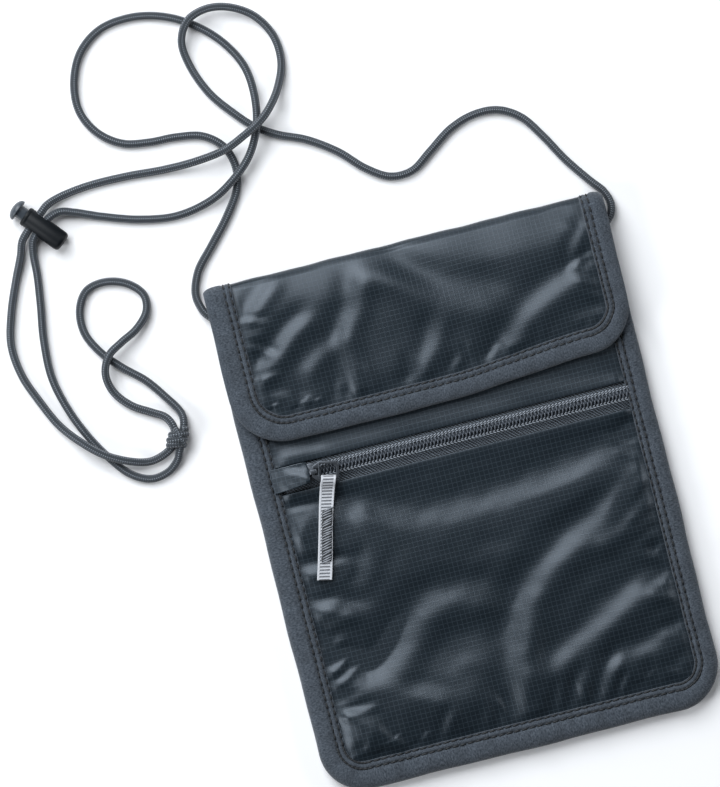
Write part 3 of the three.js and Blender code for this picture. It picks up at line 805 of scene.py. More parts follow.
panelFolds = {
    "lower": [
        ([(-62, 8), (-47, 4), (-30, -1), (-14, -5), (3, -5.4), (20, -4.6), (43, -2), (68, 3)], 7.0, 2.2),
        ([(-66, -44), (-59, -49), (-51, -55), (-45, -54.5), (-39, -51), (-32, -44), (-25, -37),
          (-17, -34.5), (-10, -34.5), (-5, -35.5)], 6.3, 2.25),
        ([(62, -8), (54, -13), (45, -20), (33, -26), (22, -33), (13, -41), (8, -49), (5, -60), (2, -70),
          (0, -82)], 5.8, 2.3),
        ([(68, -15), (60, -20), (53, -25), (45, -28)], 3.4, 1.1),
        ([(70, -46), (62, -47), (53, -48.5), (42, -54), (30, -61), (18, -66)], 5.5, 1.8),
        ([(-66, -25), (-58, -27), (-50, -30)], 3.6, 1.2),
        ([(-66, -12), (-57, -14), (-50, -13)], 3.4, 0.9),
        ([(-40, 2), (-38, -8), (-42, -16)], 3.6, 0.9),
        ([(-36, -64), (-24, -70), (-18, -80)], 4.0, 1.0),
        ([(-60, -66), (-50, -74), (-42, -86)], 3.4, 1.1),
        ([(26, -74), (22, -80), (20, -88)], 2.8, 0.9),
        ([(38, -72), (33, -79), (30, -88)], 2.8, 0.9),
        ([(66, -66), (52, -70), (40, -72)], 4.2, 1.1),
        ([(-22, -14), (-2, -20), (14, -18)], 8.0, 0.9),
        ([(-54, -63), (-32, -60), (-10, -58)], 12.0, 2.3),
        ([(-12, -72), (-4, -80)], 5.0, 1.0),
    ],
    "upper": [
        ([(-66, 31), (-30, 30), (20, 31.5), (70, 30)], 4.2, 0.3),
        ([(-66, 34), (-60, 31), (-50, 29)], 3.2, 0.9),
    ],
    "flap": [
        ([(-67, 76), (-64, 79.5), (-57, 86.5), (-52, 91)], 3.4, 1.25),
        ([(-66, 57), (-61.7, 61), (-55.7, 66), (-47.5, 73.4), (-43, 76)], 3.6, 1.4),
        ([(-21, 83), (-23.6, 76), (-28.5, 70), (-30.5, 58), (-30, 46)], 4.2, 1.35),
        ([(-44, 60), (-38, 63.5), (-31, 67)], 3.4, 0.7),
        ([(-7, 45), (-4, 50), (1, 56), (3.5, 61)], 3.6, 1.0),
        ([(-6, 87), (0, 80), (8, 72), (16, 69), (25, 67)], 5.6, 1.5),
        ([(24, 45), (29, 51), (36, 57.5), (44, 62.5), (54, 67), (66, 70)], 4.8, 1.4),
        ([(-48, 45), (-46.5, 50), (-46, 54)], 3.2, 0.5),
        ([(66, 84), (60, 78), (58, 72)], 2.6, 0.7),
        ([(-12, 88), (6, 79), (24, 73)], 5.0, 1.0),
    ],
}


def sideDistance(x, y, left, right, bottom):
    return np.minimum(np.minimum(x - left, right - x), y - bottom)


def seamFade(inside):
    # folds die away into a seam
    return (0.25 + 0.75 * smoothStep((inside + 0.5) / 4)) * smoothStep((inside + 1.5) / 1.5)


panelShape = {"seam": 5.85, "crown": 7.0, "sweepTop": 7.85, "sweepFrom": -24.0}
lowerFolds = (
    panelFolds["lower"]
    + seamFolds((innerLeft, 12), (innerLeft, innerBottom), (1, 0), 15, 11, 2.2, 0.6, 11)
    + seamFolds((innerRight, 12), (innerRight, innerBottom), (-1, 0), 16, 8, 2.0, 0.5, 12)
    + seamFolds((innerLeft, innerBottom), (innerRight, innerBottom), (0, 1), 16, 8, 2.0, 0.5, 13)
)


def lowerHeight(x, y):
    inside = sideDistance(x, y, innerLeft, innerRight, innerBottom)
    rise = 1 - (1 - np.clip(inside / 15, 0, 1)) ** 2.4
    z = panelShape["seam"] + (panelShape["crown"] - panelShape["seam"]) * rise
    z += foldHeight(x, y, lowerFolds) * seamFade(inside)
    z += waves(x, y, 9, 42, 18, 0.2) * smoothStep(inside / 8)
    z += waves(x, y, 9, 15, 7, 0.045) * smoothStep(inside / 6)
    # the folded edge at the zip is held down on the tape
    edge = smoothStep((y - (windowBottom - 6)) / 6)
    z += (7.4 + 0.06 * np.sin(x / 5.0) - z) * edge * smoothStep((inside + 1.5) / 5)
    # the ribbon sweeps over the part nearest the zip
    swept = smoothStep((y - panelShape["sweepFrom"]) / 6)
    over = np.maximum(z - panelShape["sweepTop"] + 0.5, 0)
    eased = panelShape["sweepTop"] - 0.5 + 0.5 * np.tanh(over / 0.5)
    z = np.where(over > 0, z + (eased - z) * swept, z)
    underRibbon = np.exp(-(((x + 51) / 9) ** 4)) * swept
    over = np.maximum(z - 7.1, 0)
    return np.maximum(z - over * 0.8 * underRibbon, 5.6)


def upperHeight(x, y):
    inside = np.minimum(x - innerLeft, innerRight - x)
    z = panelShape["seam"] + (6.95 - panelShape["seam"]) * (1 - (1 - np.clip(inside / 14, 0, 1)) ** 2.4)
    z += foldHeight(x, y, panelFolds["upper"]) * smoothStep(inside / 6)
    z += waves(x, y, 6, 30, 10, 0.06)
    # its edge stands up over the zip
    lip = smoothStep(1 - (y - windowTop) / 5) * smoothStep((inside + 1.5) / 5)
    return z + (7.25 + 0.08 * np.sin(x / 7.0) - z) * lip


def makeLowerPanel():
    left, right = innerLeft - seamTuck, innerRight + seamTuck
    bottom, top = innerBottom - seamTuck, windowBottom

    def place(s, t):
        x = left + (right - left) * s
        # the last rows turn under, as the folded edge beside the zip
        turn = np.clip((t - 0.96) / 0.04, 0, 1)
        flatT = np.minimum(t / 0.96, 1)
        y = bottom + (top - bottom) * flatT
        z = lowerHeight(x, y)
        y = y + 0.45 * np.sin(turn * math.pi) - 1.6 * turn * turn
        z = z - 0.5 * (1 - np.cos(turn * math.pi)) / 2 - 0.15 * turn
        return stack(x, y, z), stack(x, y)

    panel = sewnSheet("lower_front_cloth", 190, 150, place)
    return finishPiece(panel, ripstop, "pouch", ["front_lower_panel"])


def makeUpperPanel():
    left, right = innerLeft - seamTuck, innerRight + seamTuck
    bottom, top = windowTop, upperHigh[1] + 0.6

    def place(s, t):
        x = left + (right - left) * s
        turn = np.clip((0.04 - t) / 0.04, 0, 1)
        flatT = np.clip((t - 0.04) / 0.96, 0, 1)
        y = bottom + (top - bottom) * flatT
        z = upperHeight(x, y)
        y = y - 0.45 * np.sin(turn * math.pi) + 1.6 * turn * turn
        z = z - 0.5 * (1 - np.cos(turn * math.pi)) / 2 - 0.15 * turn
        return stack(x, y, z), stack(x, y)

    panel = sewnSheet("upper_front_cloth", 150, 90, place)
    return finishPiece(panel, ripstop, "pouch", ["front_upper_panel"])


makeLowerPanel()
makeUpperPanel()

flapInnerLeft = flapPanelLow[0] - clearance
flapInnerRight = flapPanelHigh[0] + clearance
flapInnerBottom = flapPanelLow[1] - clearance
flapCorners = [(flapInnerLeft, flapInnerBottom), (flapInnerRight, flapInnerBottom)]
flapFolds = (
    panelFolds["flap"]
    + seamFolds((flapInnerLeft, 86), flapCorners[0], (1, 0), 7, 8, 1.9, 0.5, 21)
    + seamFolds((flapInnerRight, 86), flapCorners[1], (-1, 0), 7, 7, 1.9, 0.45, 22)
    + seamFolds(*flapCorners, (0, 1), 16, 7, 1.8, 0.45, 23)
)


def flapHeight(x, y):
    # height over the plain slab, for the part of the flap that lies flat
    bottom = flapInnerBottom + flapLift(x, flapInnerBottom)
    inside = sideDistance(x, y, flapInnerLeft, flapInnerRight, bottom)
    rise = 0.55 * (1 - (1 - np.clip(inside / 14, 0, 1)) ** 2.2)
    rise += foldHeight(x, y, flapFolds) * seamFade(inside)
    rise += waves(x, y, 8, 34, 14, 0.13) * smoothStep(inside / 7)
    return rise


flapFold = {"flat": 10.4, "edge": 8.2, "flatTop": 92.8, "leanRun": 13.0, "slope": 0.28}


def flapDrop(y):
    # how far the flap has leaned down towards its fold
    lean = np.clip((y - flapFold["flatTop"] + flapFold["leanRun"]) / flapFold["leanRun"], 0, 1)
    return (flapFold["flat"] - flapFold["edge"]) * lean ** 1.7


def makeFlapCloth():
    left, right = flapInnerLeft - seamTuck, flapInnerRight + seamTuck
    flatTop = flapFold["flatTop"]
    flatRun = flatTop - (flapInnerBottom - seamTuck)
    slope = flapFold["slope"]  # the cloth already leans back where it meets the fold
    highZ = flapFold["edge"]
    radius = (highZ - 0.95) / (1 + math.cos(slope))
    centreY = flatTop - radius * math.sin(slope)
    centreZ = highZ - radius * math.cos(slope)
    bendRun = (math.pi - slope) * radius
    backRun = 6.0
    total = flatRun + bendRun + backRun

    def place(s, t):
        x = left + (right - left) * s
        bottom = flapInnerBottom - seamTuck + flapLift(x, flapInnerBottom)
        run = t * total
        onFlat = run <= flatRun
        y = bottom + (flatTop - bottom) * np.clip(run / flatRun, 0, 1)
        angle = slope + np.clip((run - flatRun) / bendRun, 0, 1) * (math.pi - slope)
        beyond = np.maximum(run - flatRun - bendRun, 0)
        z = flapFold["flat"] - flapDrop(y) + flapHeight(x, y)
        topEdge = np.full_like(x, flatTop)
        atFold = 0.5 * (foldHeight(x, topEdge, flapFolds) + flapHeight(x, topEdge))
        fade = np.clip(1 - (angle - slope) / 1.2, 0, 1) * (beyond <= 0)
        ripple = 0.1 * np.sin(x / 5.2) + 0.07 * np.sin(x / 2.3 + 1)
        swell = (radius + atFold * fade + ripple * np.sin(angle)) * (beyond <= 0) + radius * (beyond > 0)
        y = np.where(onFlat, y, centreY + swell * np.sin(angle) - beyond)
        z = np.where(onFlat, z, centreZ + swell * np.cos(angle))
        return stack(x, y, z), stack(x, run)

    cloth = sewnSheet("flap_cloth", 180, 110, place)
    finishPiece(cloth, ripstop, None, ["flap_panel", "flap_fold"])
    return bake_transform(cloth)


makeFlapCloth()


def makeLining(name, node, z, spread, body, thickness=0.3, follow=0.0):
    # nearly flat, with a slow drift in height; follow = 1 keeps it under the leaning flap
    low, high = boxMm(node)

    def place(s, t):
        x = low[0] - spread + (high[0] - low[0] + 2 * spread) * s
        y = low[1] - spread + (high[1] - low[1] + spread) * t
        return stack(x, y, z - follow * flapDrop(y) + waves(x, y, 5, 60, 25, 0.05)), stack(x, y)

    sheet = sewnSheet(name, 60, 70, place, thickness)
    return finishPiece(sheet, liningWeave, body, [node])


makeLining("back_cloth", "back_panel", 0.55, 1.5, "pouch", thickness=0.4)
makeLining("pocket_lining", "pocket_divider", 4.9, 1.0, "pouch")
makeLining("flap_inner_lining", "flap_lining", 9.3, 1.5, "flap", follow=1.05)
print("cloth ready")


# stitches


def makeStitch(name, length, radius):
    # one visible length of thread, round and pointed where it goes into the cloth
    clearSelection()
    bpy.ops.mesh.primitive_uv_sphere_add(segments=8, ring_count=5, radius=1)
    stitch = bpy.context.object
    stitch.name = name
    stitch.data.transform(Matrix.Diagonal((radius * mm, radius * mm, length / 2 * mm, 1)))
    stitch.data.transform(Matrix.Rotation(math.pi / 2, 4, "Y"))
    return stitch


def placeAt(point, along, top, tilt=0.0):
    # a 3 by 4 matrix: x along the stitch, z off the cloth, turned by tilt about z
    along = along / np.linalg.norm(along)
    side = np.cross(top, along)
    side /= np.linalg.norm(side)
    top = np.cross(along, side)
    turned = along * math.cos(tilt) + side * math.sin(tilt)
    across = -along * math.sin(tilt) + side * math.cos(tilt)
    return np.column_stack([turned, across, top, point])


def seamPlaces(stations, out, height, wobble, tilt, flip=1.0):
    points, inward, face, width, run = stations
    drift = edgeDrift(run, wobble)
    inset = width - out
    outer = np.clip(1 - inset / width, 0, 1)
    line = points + inward * (inset + drift * outer)[:, None] + face * height
    along = np.gradient(line, axis=0)
    places = []
    for k in range(int(run[-1] / stitchPitch)):
        at = (k + 0.5) * stitchPitch
        middle = np.array([np.interp(at, run, line[:, i]) for i in range(3)])
        way = np.array([np.interp(at, run, along[:, i]) for i in range(3)])
        top = np.array([np.interp(at, run, face[:, i]) for i in range(3)])
        places.append(placeAt(middle, way, top * flip, tilt))
    return places


def makeSeam(name, stations, rows, wobble):
    stitch = makeStitch("stitch", stitchPitch * 0.84, 0.4)
    places = []
    for out, height, flip in rows:
        places += seamPlaces(stations, out, height, wobble, 0.09, flip)
    seam = copiesOf(stitch, name, places)
    return finishPiece(seam, darkThreadAndShade)


bodySeam = makeSeam(
    "body_seam_threads", bodyPath,
    [(0.72, 6.3, 1), (2.9, 6.36, 1), (0.75, 0.3, -1), (2.9, 0.3, -1)], 0.16,
)
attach(bodySeam, "pouch")
flapSeam = makeSeam(
    "flap_seam_threads", flapPath,
    [(0.8, 1.05, 1), (2.95, 1.08, 1), (0.8, -1.2, -1), (2.95, -1.2, -1)], 0.14,
)
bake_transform(flapSeam)
print("stitches ready")


# zip

chain = {"pitch": 1.34, "wire": 0.3, "halfWidth": 0.72, "halfHeight": 0.42, "lean": 0.55}
chainLeft = innerLeft - 1.6
chainRight = innerRight + 1.6


def zipDrop(x):
    # the zip goes down into the side seams
    inside = np.minimum(x - innerLeft, innerRight - x)
    return 1 - smoothStep((inside + 1.5) / 7)


def zipTapeSheet(name, y0, y1, stands):
    # woven tape, a little hollow between the panel's fold and the coil
    def place(s, t):
        x = chainLeft + (chainRight - chainLeft) * s
        y = y0 + (y1 - y0) * t
        z = tapeTop + 0.05 + 0.05 * np.sin(x / 6.3 + y) + 0.03 * np.sin(x / 1.9) - zipDrop(x)
        z = z - 0.95 * smoothStep((np.abs(y - zipY) - 2.9) / 1.4)
        return stack(x, y, z), stack(x, y)

    tape = gridSheet(name, 180, 8, place)
    applyModifier(tape, "SOLIDIFY", thickness=0.45 * mm, offset=-1)
    return finishPiece(tape, zipTape, "pouch", stands)


def makeTapes():
    split = 0.12
    zipTapeSheet("upper_tape", zipY + split, windowTop + 1.4, ["zip_tape_upper"])
    zipTapeSheet("lower_tape", windowBottom - 1.4, zipY - split, ["zip_tape_lower"])


def coilPath(side):
    # a flattened helix whose links lean over, as the coil of a zip does when it is sewn to the tape
    wave = 12
    turns = int((chainRight - chainLeft) / chain["pitch"])
    angle = np.arange(turns * wave + 1) * 2 * math.pi / wave
    x = chainLeft + angle / (2 * math.pi) * chain["pitch"]
    y = zipY + side * (0.56 - chain["halfWidth"] * np.cos(angle))
    x = x + chain["lean"] * np.sin(angle) * 0.25 + chain["lean"] * 0.5 * np.cos(angle)
    if side < 0:
        x = x + chain["pitch"] / 2
    z = (coilLow[2] + coilHigh[2]) / 2 + chain["halfHeight"] * np.sin(angle) - 1.5 * zipDrop(x)
    return stack(x, y, z)


def makeCoils():
    for side, row in ((1, "upper"), (-1, "lower")):
        coil = tube(row + "_coil", coilPath(side), chain["wire"], sides=6)
        finishPiece(coil, coilNylon, "pouch", ["zip_coil_" + row])


def makeChainStitches():
    # two rows of sewing hold each coil on its tape
    places = []
    for y in (zipY + 1.62, zipY + 2.3, zipY - 1.62, zipY - 2.3):
        for k in range(int((chainRight - chainLeft) / chain["pitch"])):
            x = chainLeft + (k + 0.5) * chain["pitch"]
            lean = 0.42 if y > zipY - 2 else -0.42
            point = np.array([x, y, tapeTop + 0.28 - zipDrop(x)])
            places.append(placeAt(point, np.array([1.0, 0, 0]), np.array([0, 0, 1.0]), lean))
    stitch = makeStitch("chain_stitch", chain["pitch"] * 1.05, 0.22)
    threads = copiesOf(stitch, "chain_stitches", places)
    finishPiece(threads, chainThread, "pouch")


makeTapes()
makeCoils()
makeChainStitches()


def refinedCopy(node, name, bevel, material, body):
    # the designed solid with its edges broken, as plating or tumbling leaves them
    source = frame["nodes"][node]
    copy = bpy.data.objects.new(name, source.data.copy())
    bpy.context.collection.objects.link(copy)
    copy.data.name = name
    makeActive(copy)
    bpy.ops.object.mode_set(mode="EDIT")
    bpy.ops.mesh.select_all(action="SELECT")
    bpy.ops.mesh.remove_doubles(threshold=0.002 * mm)
    bpy.ops.mesh.normals_make_consistent(inside=False)
    bpy.ops.mesh.dissolve_limited(angle_limit=math.radians(1))
    bpy.ops.object.mode_set(mode="OBJECT")
    breakEdges(copy, bevel, 25)
    finishPiece(copy, material, body, [node])
    makeActive(copy)
    bpy.ops.object.shade_smooth_by_angle(angle=math.radians(40))
    return copy


refinedCopy("zip_slider", "slider_body", 0.14, darkZinc, "slider")
refinedCopy("zip_pull", "pull_plate", 0.2, darkZinc, "pull")

hinges = {joint["name"]: joint for joint in frame["joints"]}


def pullFrame():
    # the pull's own axes at rest: x to its tip, y across it
    across = -np.array(hinges["pull_hinge"]["axis"])
    toTip = -np.array(hinges["ribbon_hinge"]["axis"])
    return np.column_stack([toTip, across, np.cross(toTip, across)])


pullAxes = pullFrame()
ribbonOrigin = np.array(hinges["ribbon_hinge"]["pos_m"]) / mm
ribbonShape = {
    "width": 5.4, "thickness": 0.42, "length": 36.6,
    "tackFrom": 0.285, "tackTo": 0.83, "tackWidth": 3.9,
}


def onRibbon(x, y, z):
    # from the ribbon's own axes to the frame
    return ribbonOrigin + stack(x, y, z) @ pullAxes.T


def sagOf(y):
    # the ribbon waves a little, more so towards its free end
    far = np.clip(-y / ribbonShape["length"], 0, 1)
    return 0.12 * np.sin(y / 4.1) * far


def ribbonSkew(y):
    # it hangs a little across the pull
    return 0.075 * y + 0.22 * np.sin(y / 7.0)


def makeRibbon():
    end = -ribbonShape["length"]
    outline = [
        (end, -0.98, 0), (-28, -0.98, 0), (-18, -0.98, 0), (-9, -0.95, 0), (-5, -0.8, 0), (-2.7, -0.1, 0),
        (-1.3, 0.95, 0), (0, 1.38, 0), (1.05, 0.95, 0), (1.45, 0, 0), (1.0, -1.05, 0), (0, -1.45, 0),
        (-3, -1.5, 0), (-9, -1.48, 0), (-18, -1.48, 0), (-28, -1.48, 0), (end, -1.48, 0),
    ]
    route, length = smoothPath(outline, 0.3)
    run = np.linspace(0, length, len(route))
    steps = len(route) - 1
    half = ribbonShape["width"] / 2

    def place(s, t):
        row = np.rint(s * steps).astype(int)
        across = (t * 2 - 1) * half
        y, z = route[row, 0], route[row, 1]
        rib = 0.09 * np.cos(run[row] * 2 * math.pi / 1.2) * (np.abs(across) < half - 0.55)
        selvedge = 0.07 * (np.abs(across) >= half - 0.55)
        narrow = 1 - 0.06 * np.exp(-(((y + 17) / 9) ** 2))
        raised = (rib + selvedge) * np.sign(z + 1.2)
        points = onRibbon(across * narrow + ribbonSkew(y), y, z + sagOf(y) + raised)
        return points, stack(across, run[row])

    ribbon = gridSheet("ribbon_pull", steps, 18, place)
    applyModifier(ribbon, "SOLIDIFY", thickness=ribbonShape["thickness"] * mm, offset=0)
    return finishPiece(ribbon, grosgrain, "ribbon", ["pull_ribbon"])


def makeBarTack():
    # close zigzag sewing through both plies, over a thin bed of thread whose dark colour is painted shade
    # between the stitches
    start = -ribbonShape["length"] * ribbonShape["tackFrom"]
    end = -ribbonShape["length"] * ribbonShape["tackTo"]
    half = ribbonShape["tackWidth"] / 2
    rng = np.random.default_rng(5)
    bed = smoothPath([(0.2, y, -0.72) for y in np.linspace(start - 0.4, end + 0.4, 12)], 0.5)[0]
    lean = ribbonSkew(bed[:, 1]) + 0.35 + 0.1 * np.sin(bed[:, 1] * 2)
    bed = onRibbon(lean, bed[:, 1], bed[:, 2] + sagOf(bed[:, 1]))
    # a dark flat sheet under the stitches: painted shade in the gaps between them
    paintedShadeBed = tube("bar_tack_painted_shade_bed", bed, half * 0.96, sides=14, flatten=0.16)
    finishPiece(paintedShadeBed, darkThreadAndShade, "ribbon")
    places = []
    pitch = 0.94
    slant = 0.42
    for k in range(int((start - end) / pitch)):
        y = start - (k + 0.5) * pitch + rng.uniform(-0.08, 0.08)
        x = ribbonSkew(y) + 0.4 + rng.uniform(-0.2, 0.45)
        middle = onRibbon(np.array([x]), np.array([y]), np.array([-0.42 + sagOf(y)]))[0]
        way = pullAxes @ np.array([math.cos(slant), math.sin(slant), 0])
        places.append(placeAt(middle, way, pullAxes[:, 2], rng.uniform(-0.09, 0.09)))
    stitch = makeStitch("tack_stitch", ribbonShape["tackWidth"] * 1.08, 0.29)
    tack = copiesOf(stitch, "bar_tack", places)
    return finishPiece(tack, tackThread, "ribbon")


makeRibbon()
makeBarTack()

endLow, endHigh = boxMm("zip_end_tab")


def makeEndTab():
    # a folded end of the front cloth: caught in the left seam, its round fold standing free
    outline = [
        (endLow[0] - 1.8, 0, 7.3), (endLow[0] + 0.4, 0, 8.0), (endLow[0] + 3.4, 0, 9.15),
        (endLow[0] + 7.4, 0, 10.0), (endHigh[0] - 1.2, 0, 10.55), (endHigh[0] - 0.1, 0, 10.25),
        (endHigh[0] - 0.2, 0, 9.85), (endHigh[0] - 1.6, 0, 9.75), (endLow[0] + 7.4, 0, 9.4),
        (endLow[0] + 3.4, 0, 8.6), (endLow[0] + 0.4, 0, 7.5), (endLow[0] - 1.8, 0, 6.8),
    ]
    route, length = smoothPath(outline, 0.25)
    run = np.linspace(0, length, len(route))
    steps = len(route) - 1

    def place(s, t):
        row = np.rint(s * steps).astype(int)
        x, z = route[row, 0], route[row, 2]
        free = np.clip((x - endLow[0]) / (endHigh[0] - endLow[0]), 0, 1)
        y = endLow[1] + (endHigh[1] - endLow[1]) * t
        y = y + (t - 0.5) * -1.2 * free + 0.5 * free
        crease = 0.55 * np.exp(-(((x - endLow[0] - 3.5 - 3.2 * t) / 1.1) ** 2))
        crease = crease * smoothStep((t - 0.35) / 0.3)
        lift = 0.4 * free * np.sin(t * 5.2 + 0.6) + 0.22 * np.sin(t * 9 + x * 0.7) * free
        lift = lift - 1.15 * smoothStep((t - 0.5) / 0.5) * (0.5 + 0.5 * free) + 0.3 * (1 - t) * free
        z = z + lift - crease * free * 0.6 + crease * 0.3
        return stack(x + 0.5 * np.sin(t * 3.0) * free, y, z), stack(run[row], y)

    tab = gridSheet("zip_end_cloth", steps, 26, place)
    applyModifier(tab, "SOLIDIFY", thickness=0.22 * mm, offset=-1)
    return finishPiece(tab, ripstop, "pouch", ["zip_end_tab"])


makeEndTab()
print("zip ready")


# cord lock and knot

lockShape = {"holeLength": 3.3, "holeHeight": 1.8}
lockLow, lockHigh = boxMm("cord_lock_barrel")
lockAxis = np.array(hinges["lock_press"]["axis"])


def lockMatrix():
    # the lock lies along its plunger's travel, with the cord's hole through its middle
    angle = math.atan2(lockAxis[1], lockAxis[0])
    middle = [(low + high) / 2 for low, high in zip(lockLow, lockHigh)]
    alongMiddle = 3.1
    x = middle[0] - alongMiddle * math.cos(angle)
    y = middle[1] - alongMiddle * math.sin(angle)
    return Matrix.Translation((x * mm, y * mm, middle[2] * mm)) @ Matrix.Rotation(angle, 4, "Z")


def turnedPiece(name, profile):
    # a profile of (distance along, radius) in mm, spun about the x axis
    mesh = bpy.data.meshes.new(name)
    edges = [(i, i + 1) for i in range(len(profile) - 1)]
    mesh.from_pydata([(x * mm, 0, r * mm) for x, r in profile], edges, [])
    obj = bpy.data.objects.new(name, mesh)
    bpy.context.collection.objects.link(obj)
    makeActive(obj)
    bpy.ops.object.mode_set(mode="EDIT")
    bpy.ops.mesh.select_all(action="SELECT")
    bpy.ops.mesh.spin(steps=56, angle=2 * math.pi, center=(0, 0, 0), axis=(1, 0, 0))
    bpy.ops.mesh.select_all(action="SELECT")
    bpy.ops.mesh.remove_doubles(threshold=0.002 * mm)
    bpy.ops.mesh.normals_make_consistent(inside=False)
    bpy.ops.object.mode_set(mode="OBJECT")
    return obj


def cutCordHole(obj, x, rim):
    clearSelection()
    size = (2 * lockShape["holeLength"] * mm, 20 * mm, 2 * lockShape["holeHeight"] * mm)
    bpy.ops.mesh.primitive_cube_add(size=1, location=(x * mm, 0, 0), scale=size)
    cutter = bpy.context.object
    bpy.ops.object.transform_apply(location=True, rotation=False, scale=True)
    applyModifier(cutter, "BEVEL", width=1.5 * mm, segments=6, limit_method="NONE")
    applyModifier(obj, "BOOLEAN", operation="DIFFERENCE", object=cutter, solver="EXACT")
    bpy.data.objects.remove(cutter)
    breakEdges(obj, rim, 50)


def finishLockPiece(obj, material, body, node):
    obj.data.transform(lockMatrix())
    finishPiece(obj, material, body, [node])
    makeActive(obj)
    bpy.ops.object.shade_smooth_by_angle(angle=math.radians(35))
    return obj


def makeLock():
    barrel = turnedPiece("lock_barrel", [
        (8.5, 0), (8.5, 2.8), (-5.1, 2.8), (-5.4, 2.95), (-5.5, 3.2), (-5.4, 3.5), (-5.0, 3.72),
        (-4.4, 3.75), (-3.9, 3.62), (-3.6, 3.75), (10.0, 3.75), (10.7, 3.66), (11.2, 3.42),
        (11.55, 3.0), (11.7, 2.4), (11.68, 1.5), (11.5, 1.1), (11.2, 0.8), (11.1, 0),
    ])
    cutCordHole(barrel, 0, 0.25)
    finishLockPiece(barrel, lockNylon, "pouch", "cord_lock_barrel")
    plunger = turnedPiece("lock_plunger", [
        (-11.0, 0), (-10.9, 1.2), (-10.6, 2.3), (-10.2, 3.1), (-9.8, 3.6), (-9.3, 3.95), (-8.7, 4.05),
        (-8.4, 3.9), (-8.4, 3.3), (-8.35, 2.6), (-8.0, 2.45), (3.0, 2.45), (3.2, 2.2), (3.2, 0),
    ])
    cutCordHole(plunger, -2.6, 0.15)
    finishLockPiece(plunger, buttonNylon, "plunger", "cord_lock_plunger")
    turns, wave = 4.0, 18
    angle = np.arange(int(turns * wave) + 1) * 2 * math.pi / wave
    wire = stack(3.75 + angle / (2 * math.pi) * 4.2 / turns, 1.8 * np.cos(angle), 1.8 * np.sin(angle))
    spring = tube("lock_spring", wire, 0.22, sides=8)
    finishLockPiece(spring, springSteel, None, "cord_lock_spring")
    fixedEnd, pushedEnd = [tuple(lockMatrix() @ Vector((x * mm, 0, 0))) for x in (8.15, 3.6)]
    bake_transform(spring)
    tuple(fixedEnd)
    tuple(pushedEnd)
    return barrel, plunger, spring


def makeKnot():
    # the cord wound about three times round itself, with one end tucked over the turns
    low, high = boxMm("stopper_knot")
    middle = np.array([(a + b) / 2 for a, b in zip(low, high)])
    lean = math.radians(-27)
    alongKnot = np.array([-math.sin(lean), math.cos(lean), 0])
    acrossKnot = np.array([math.cos(lean), math.sin(lean), 0])
    up = np.array([0, 0, 1.0])

    def wind(turns, reach, girth, skew, start):
        angle = start + np.linspace(0, turns * 2 * math.pi, int(turns * 22))
        s = np.linspace(-1, 1, len(angle))
        r = girth * np.sqrt(np.clip(1.08 - 0.55 * s * s, 0.1, 1))
        side = r * np.cos(angle)
        rise = r * 0.82 * np.sin(angle)
        run = reach * s + skew * side
        return middle + alongKnot * run[:, None] + acrossKnot * side[:, None] + up * rise[:, None]

    wraps = tube("knot_wraps", wind(3.1, 3.0, 2.85, 0.5, 0.4), 1.12, sides=14)
    finishPiece(wraps, braid, "pouch", ["stopper_knot"])
    over = tube("knot_tuck", wind(0.9, 1.9, 3.0, -0.8, 2.9), 1.1, sides=14)
    finishPiece(over, braid, "pouch")
    return wraps, over


lockPieces = makeLock()
knotPieces = makeKnot()
print("lock and knot ready")


# mouth and closure


def makeMouthHem():
    # folded edge of the front at the pouch's mouth, one fold with a row of stitches
    low, high = boxMm("mouth_hem")
    middleY, middleZ = (low[1] + high[1]) / 2, (low[2] + high[2]) / 2
    x = np.linspace(low[0] - 1.2, high[0] + 1.2, 130)
    path = stack(x, middleY + 0.1 * np.sin(x / 9), middleZ + 0.06 * np.sin(x / 6 + 1))
    hem = tube("mouth_edge", path, 1.05, sides=16, flatten=0.78)
    finishPiece(hem, knit, "pouch", ["mouth_hem"])
    places = []
    for k in range(int((high[0] - low[0]) / stitchPitch)):
        point = np.array([low[0] + (k + 0.5) * stitchPitch, middleY, middleZ + 0.84])
        places.append(placeAt(point, np.array([1.0, 0, 0]), np.array([0, 0, 1.0])))
    threads = copiesOf(makeStitch("hem_stitch", stitchPitch * 0.8, 0.17), "mouth_threads", places)
    finishPiece(threads, darkThreadAndShade, "pouch")


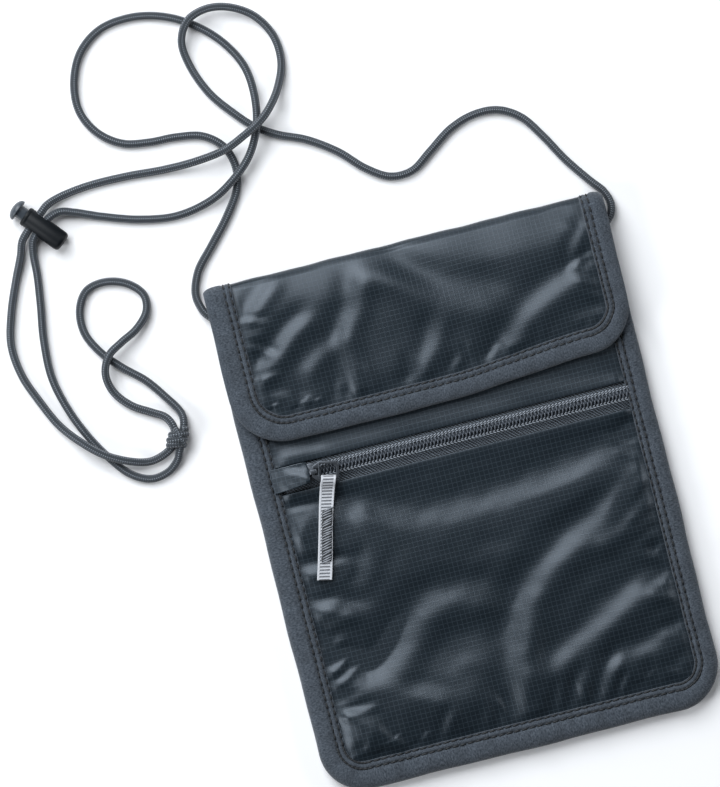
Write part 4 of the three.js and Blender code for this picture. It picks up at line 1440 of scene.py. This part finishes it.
def closureStrip(node, name, body, material, facing, tufts):
    # a sewn strip whose face is covered in small tufts
    low, high = boxMm(node)
    backing = high[2] if facing < 0 else low[2]
    depth = high[2] - low[2]

    def place(s, t):
        x = low[0] + (high[0] - low[0]) * s
        y = low[1] + (high[1] - low[1]) * t
        edge = np.minimum(np.minimum(x - low[0], high[0] - x), np.minimum(y - low[1], high[1] - y))
        bump = 0.5 + 0.5 * np.sin(x * 2 * math.pi / tufts) * np.sin(y * 2 * math.pi / tufts)
        rise = depth * (0.55 + 0.45 * bump) * smoothStep(edge / 0.5)
        return stack(x, y, backing + facing * np.maximum(rise, 0.12)), stack(x, y)

    strip = gridSheet(name, 200, 52, place)
    applyModifier(strip, "SOLIDIFY", thickness=0.12 * mm, offset=-facing)
    return finishPiece(strip, material, body, [node])


makeMouthHem()
closureStrip("loop_strip", "loop_tape", "pouch", loopStrip, 1, 1.3)
closureStrip("hook_strip", "hook_tape", "flap", hookStrip, -1, 1.15)
print("mouth and closure ready")


# floor and light


def addFloor():
    clearSelection()
    bpy.ops.mesh.primitive_plane_add(size=6)
    floor = bpy.context.object
    floor.name = "paper_floor"
    floor.data.materials.append(startMaterial("whitePaper", 0.9, Base_Color=rgb("#fbfbfc"))[0])


def addLamp(name, place, size, power):
    # a soft round lamp turned towards the middle of the pouch
    data = bpy.data.lights.new(name, "AREA")
    data.shape = "DISK"
    data.size = size
    data.energy = power
    data.color = (0.94, 0.97, 1.0)
    lamp = bpy.data.objects.new(name, data)
    bpy.context.collection.objects.link(lamp)
    lamp.location = place
    middle = Vector((0, 0.03, 0))
    lamp.rotation_euler = (middle - lamp.location).to_track_quat("-Z", "Y").to_euler()


def addLight():
    world = bpy.data.worlds.new("paleRoom")
    world.use_nodes = True
    sky = world.node_tree.nodes["Background"].inputs
    sky["Color"].default_value = (0.93, 0.95, 1.0, 1)
    sky["Strength"].default_value = 0.06
    bpy.context.scene.world = world
    addLamp("keyLamp", (-0.35, 0.83, 1.0), 1.1, 19)
    addLamp("fillLamp", (-1.3, -0.25, 0.75), 0.6, 10.5)
    addLamp("edgeLamp", (1.3, 0.2, 0.75), 0.6, 6.5)
    addLamp("foldLamp", (-0.5, 1.4, 0.65), 0.9, 8)
    bpy.context.scene.view_settings.view_transform = "Standard"


addFloor()
addLight()
print("light ready")
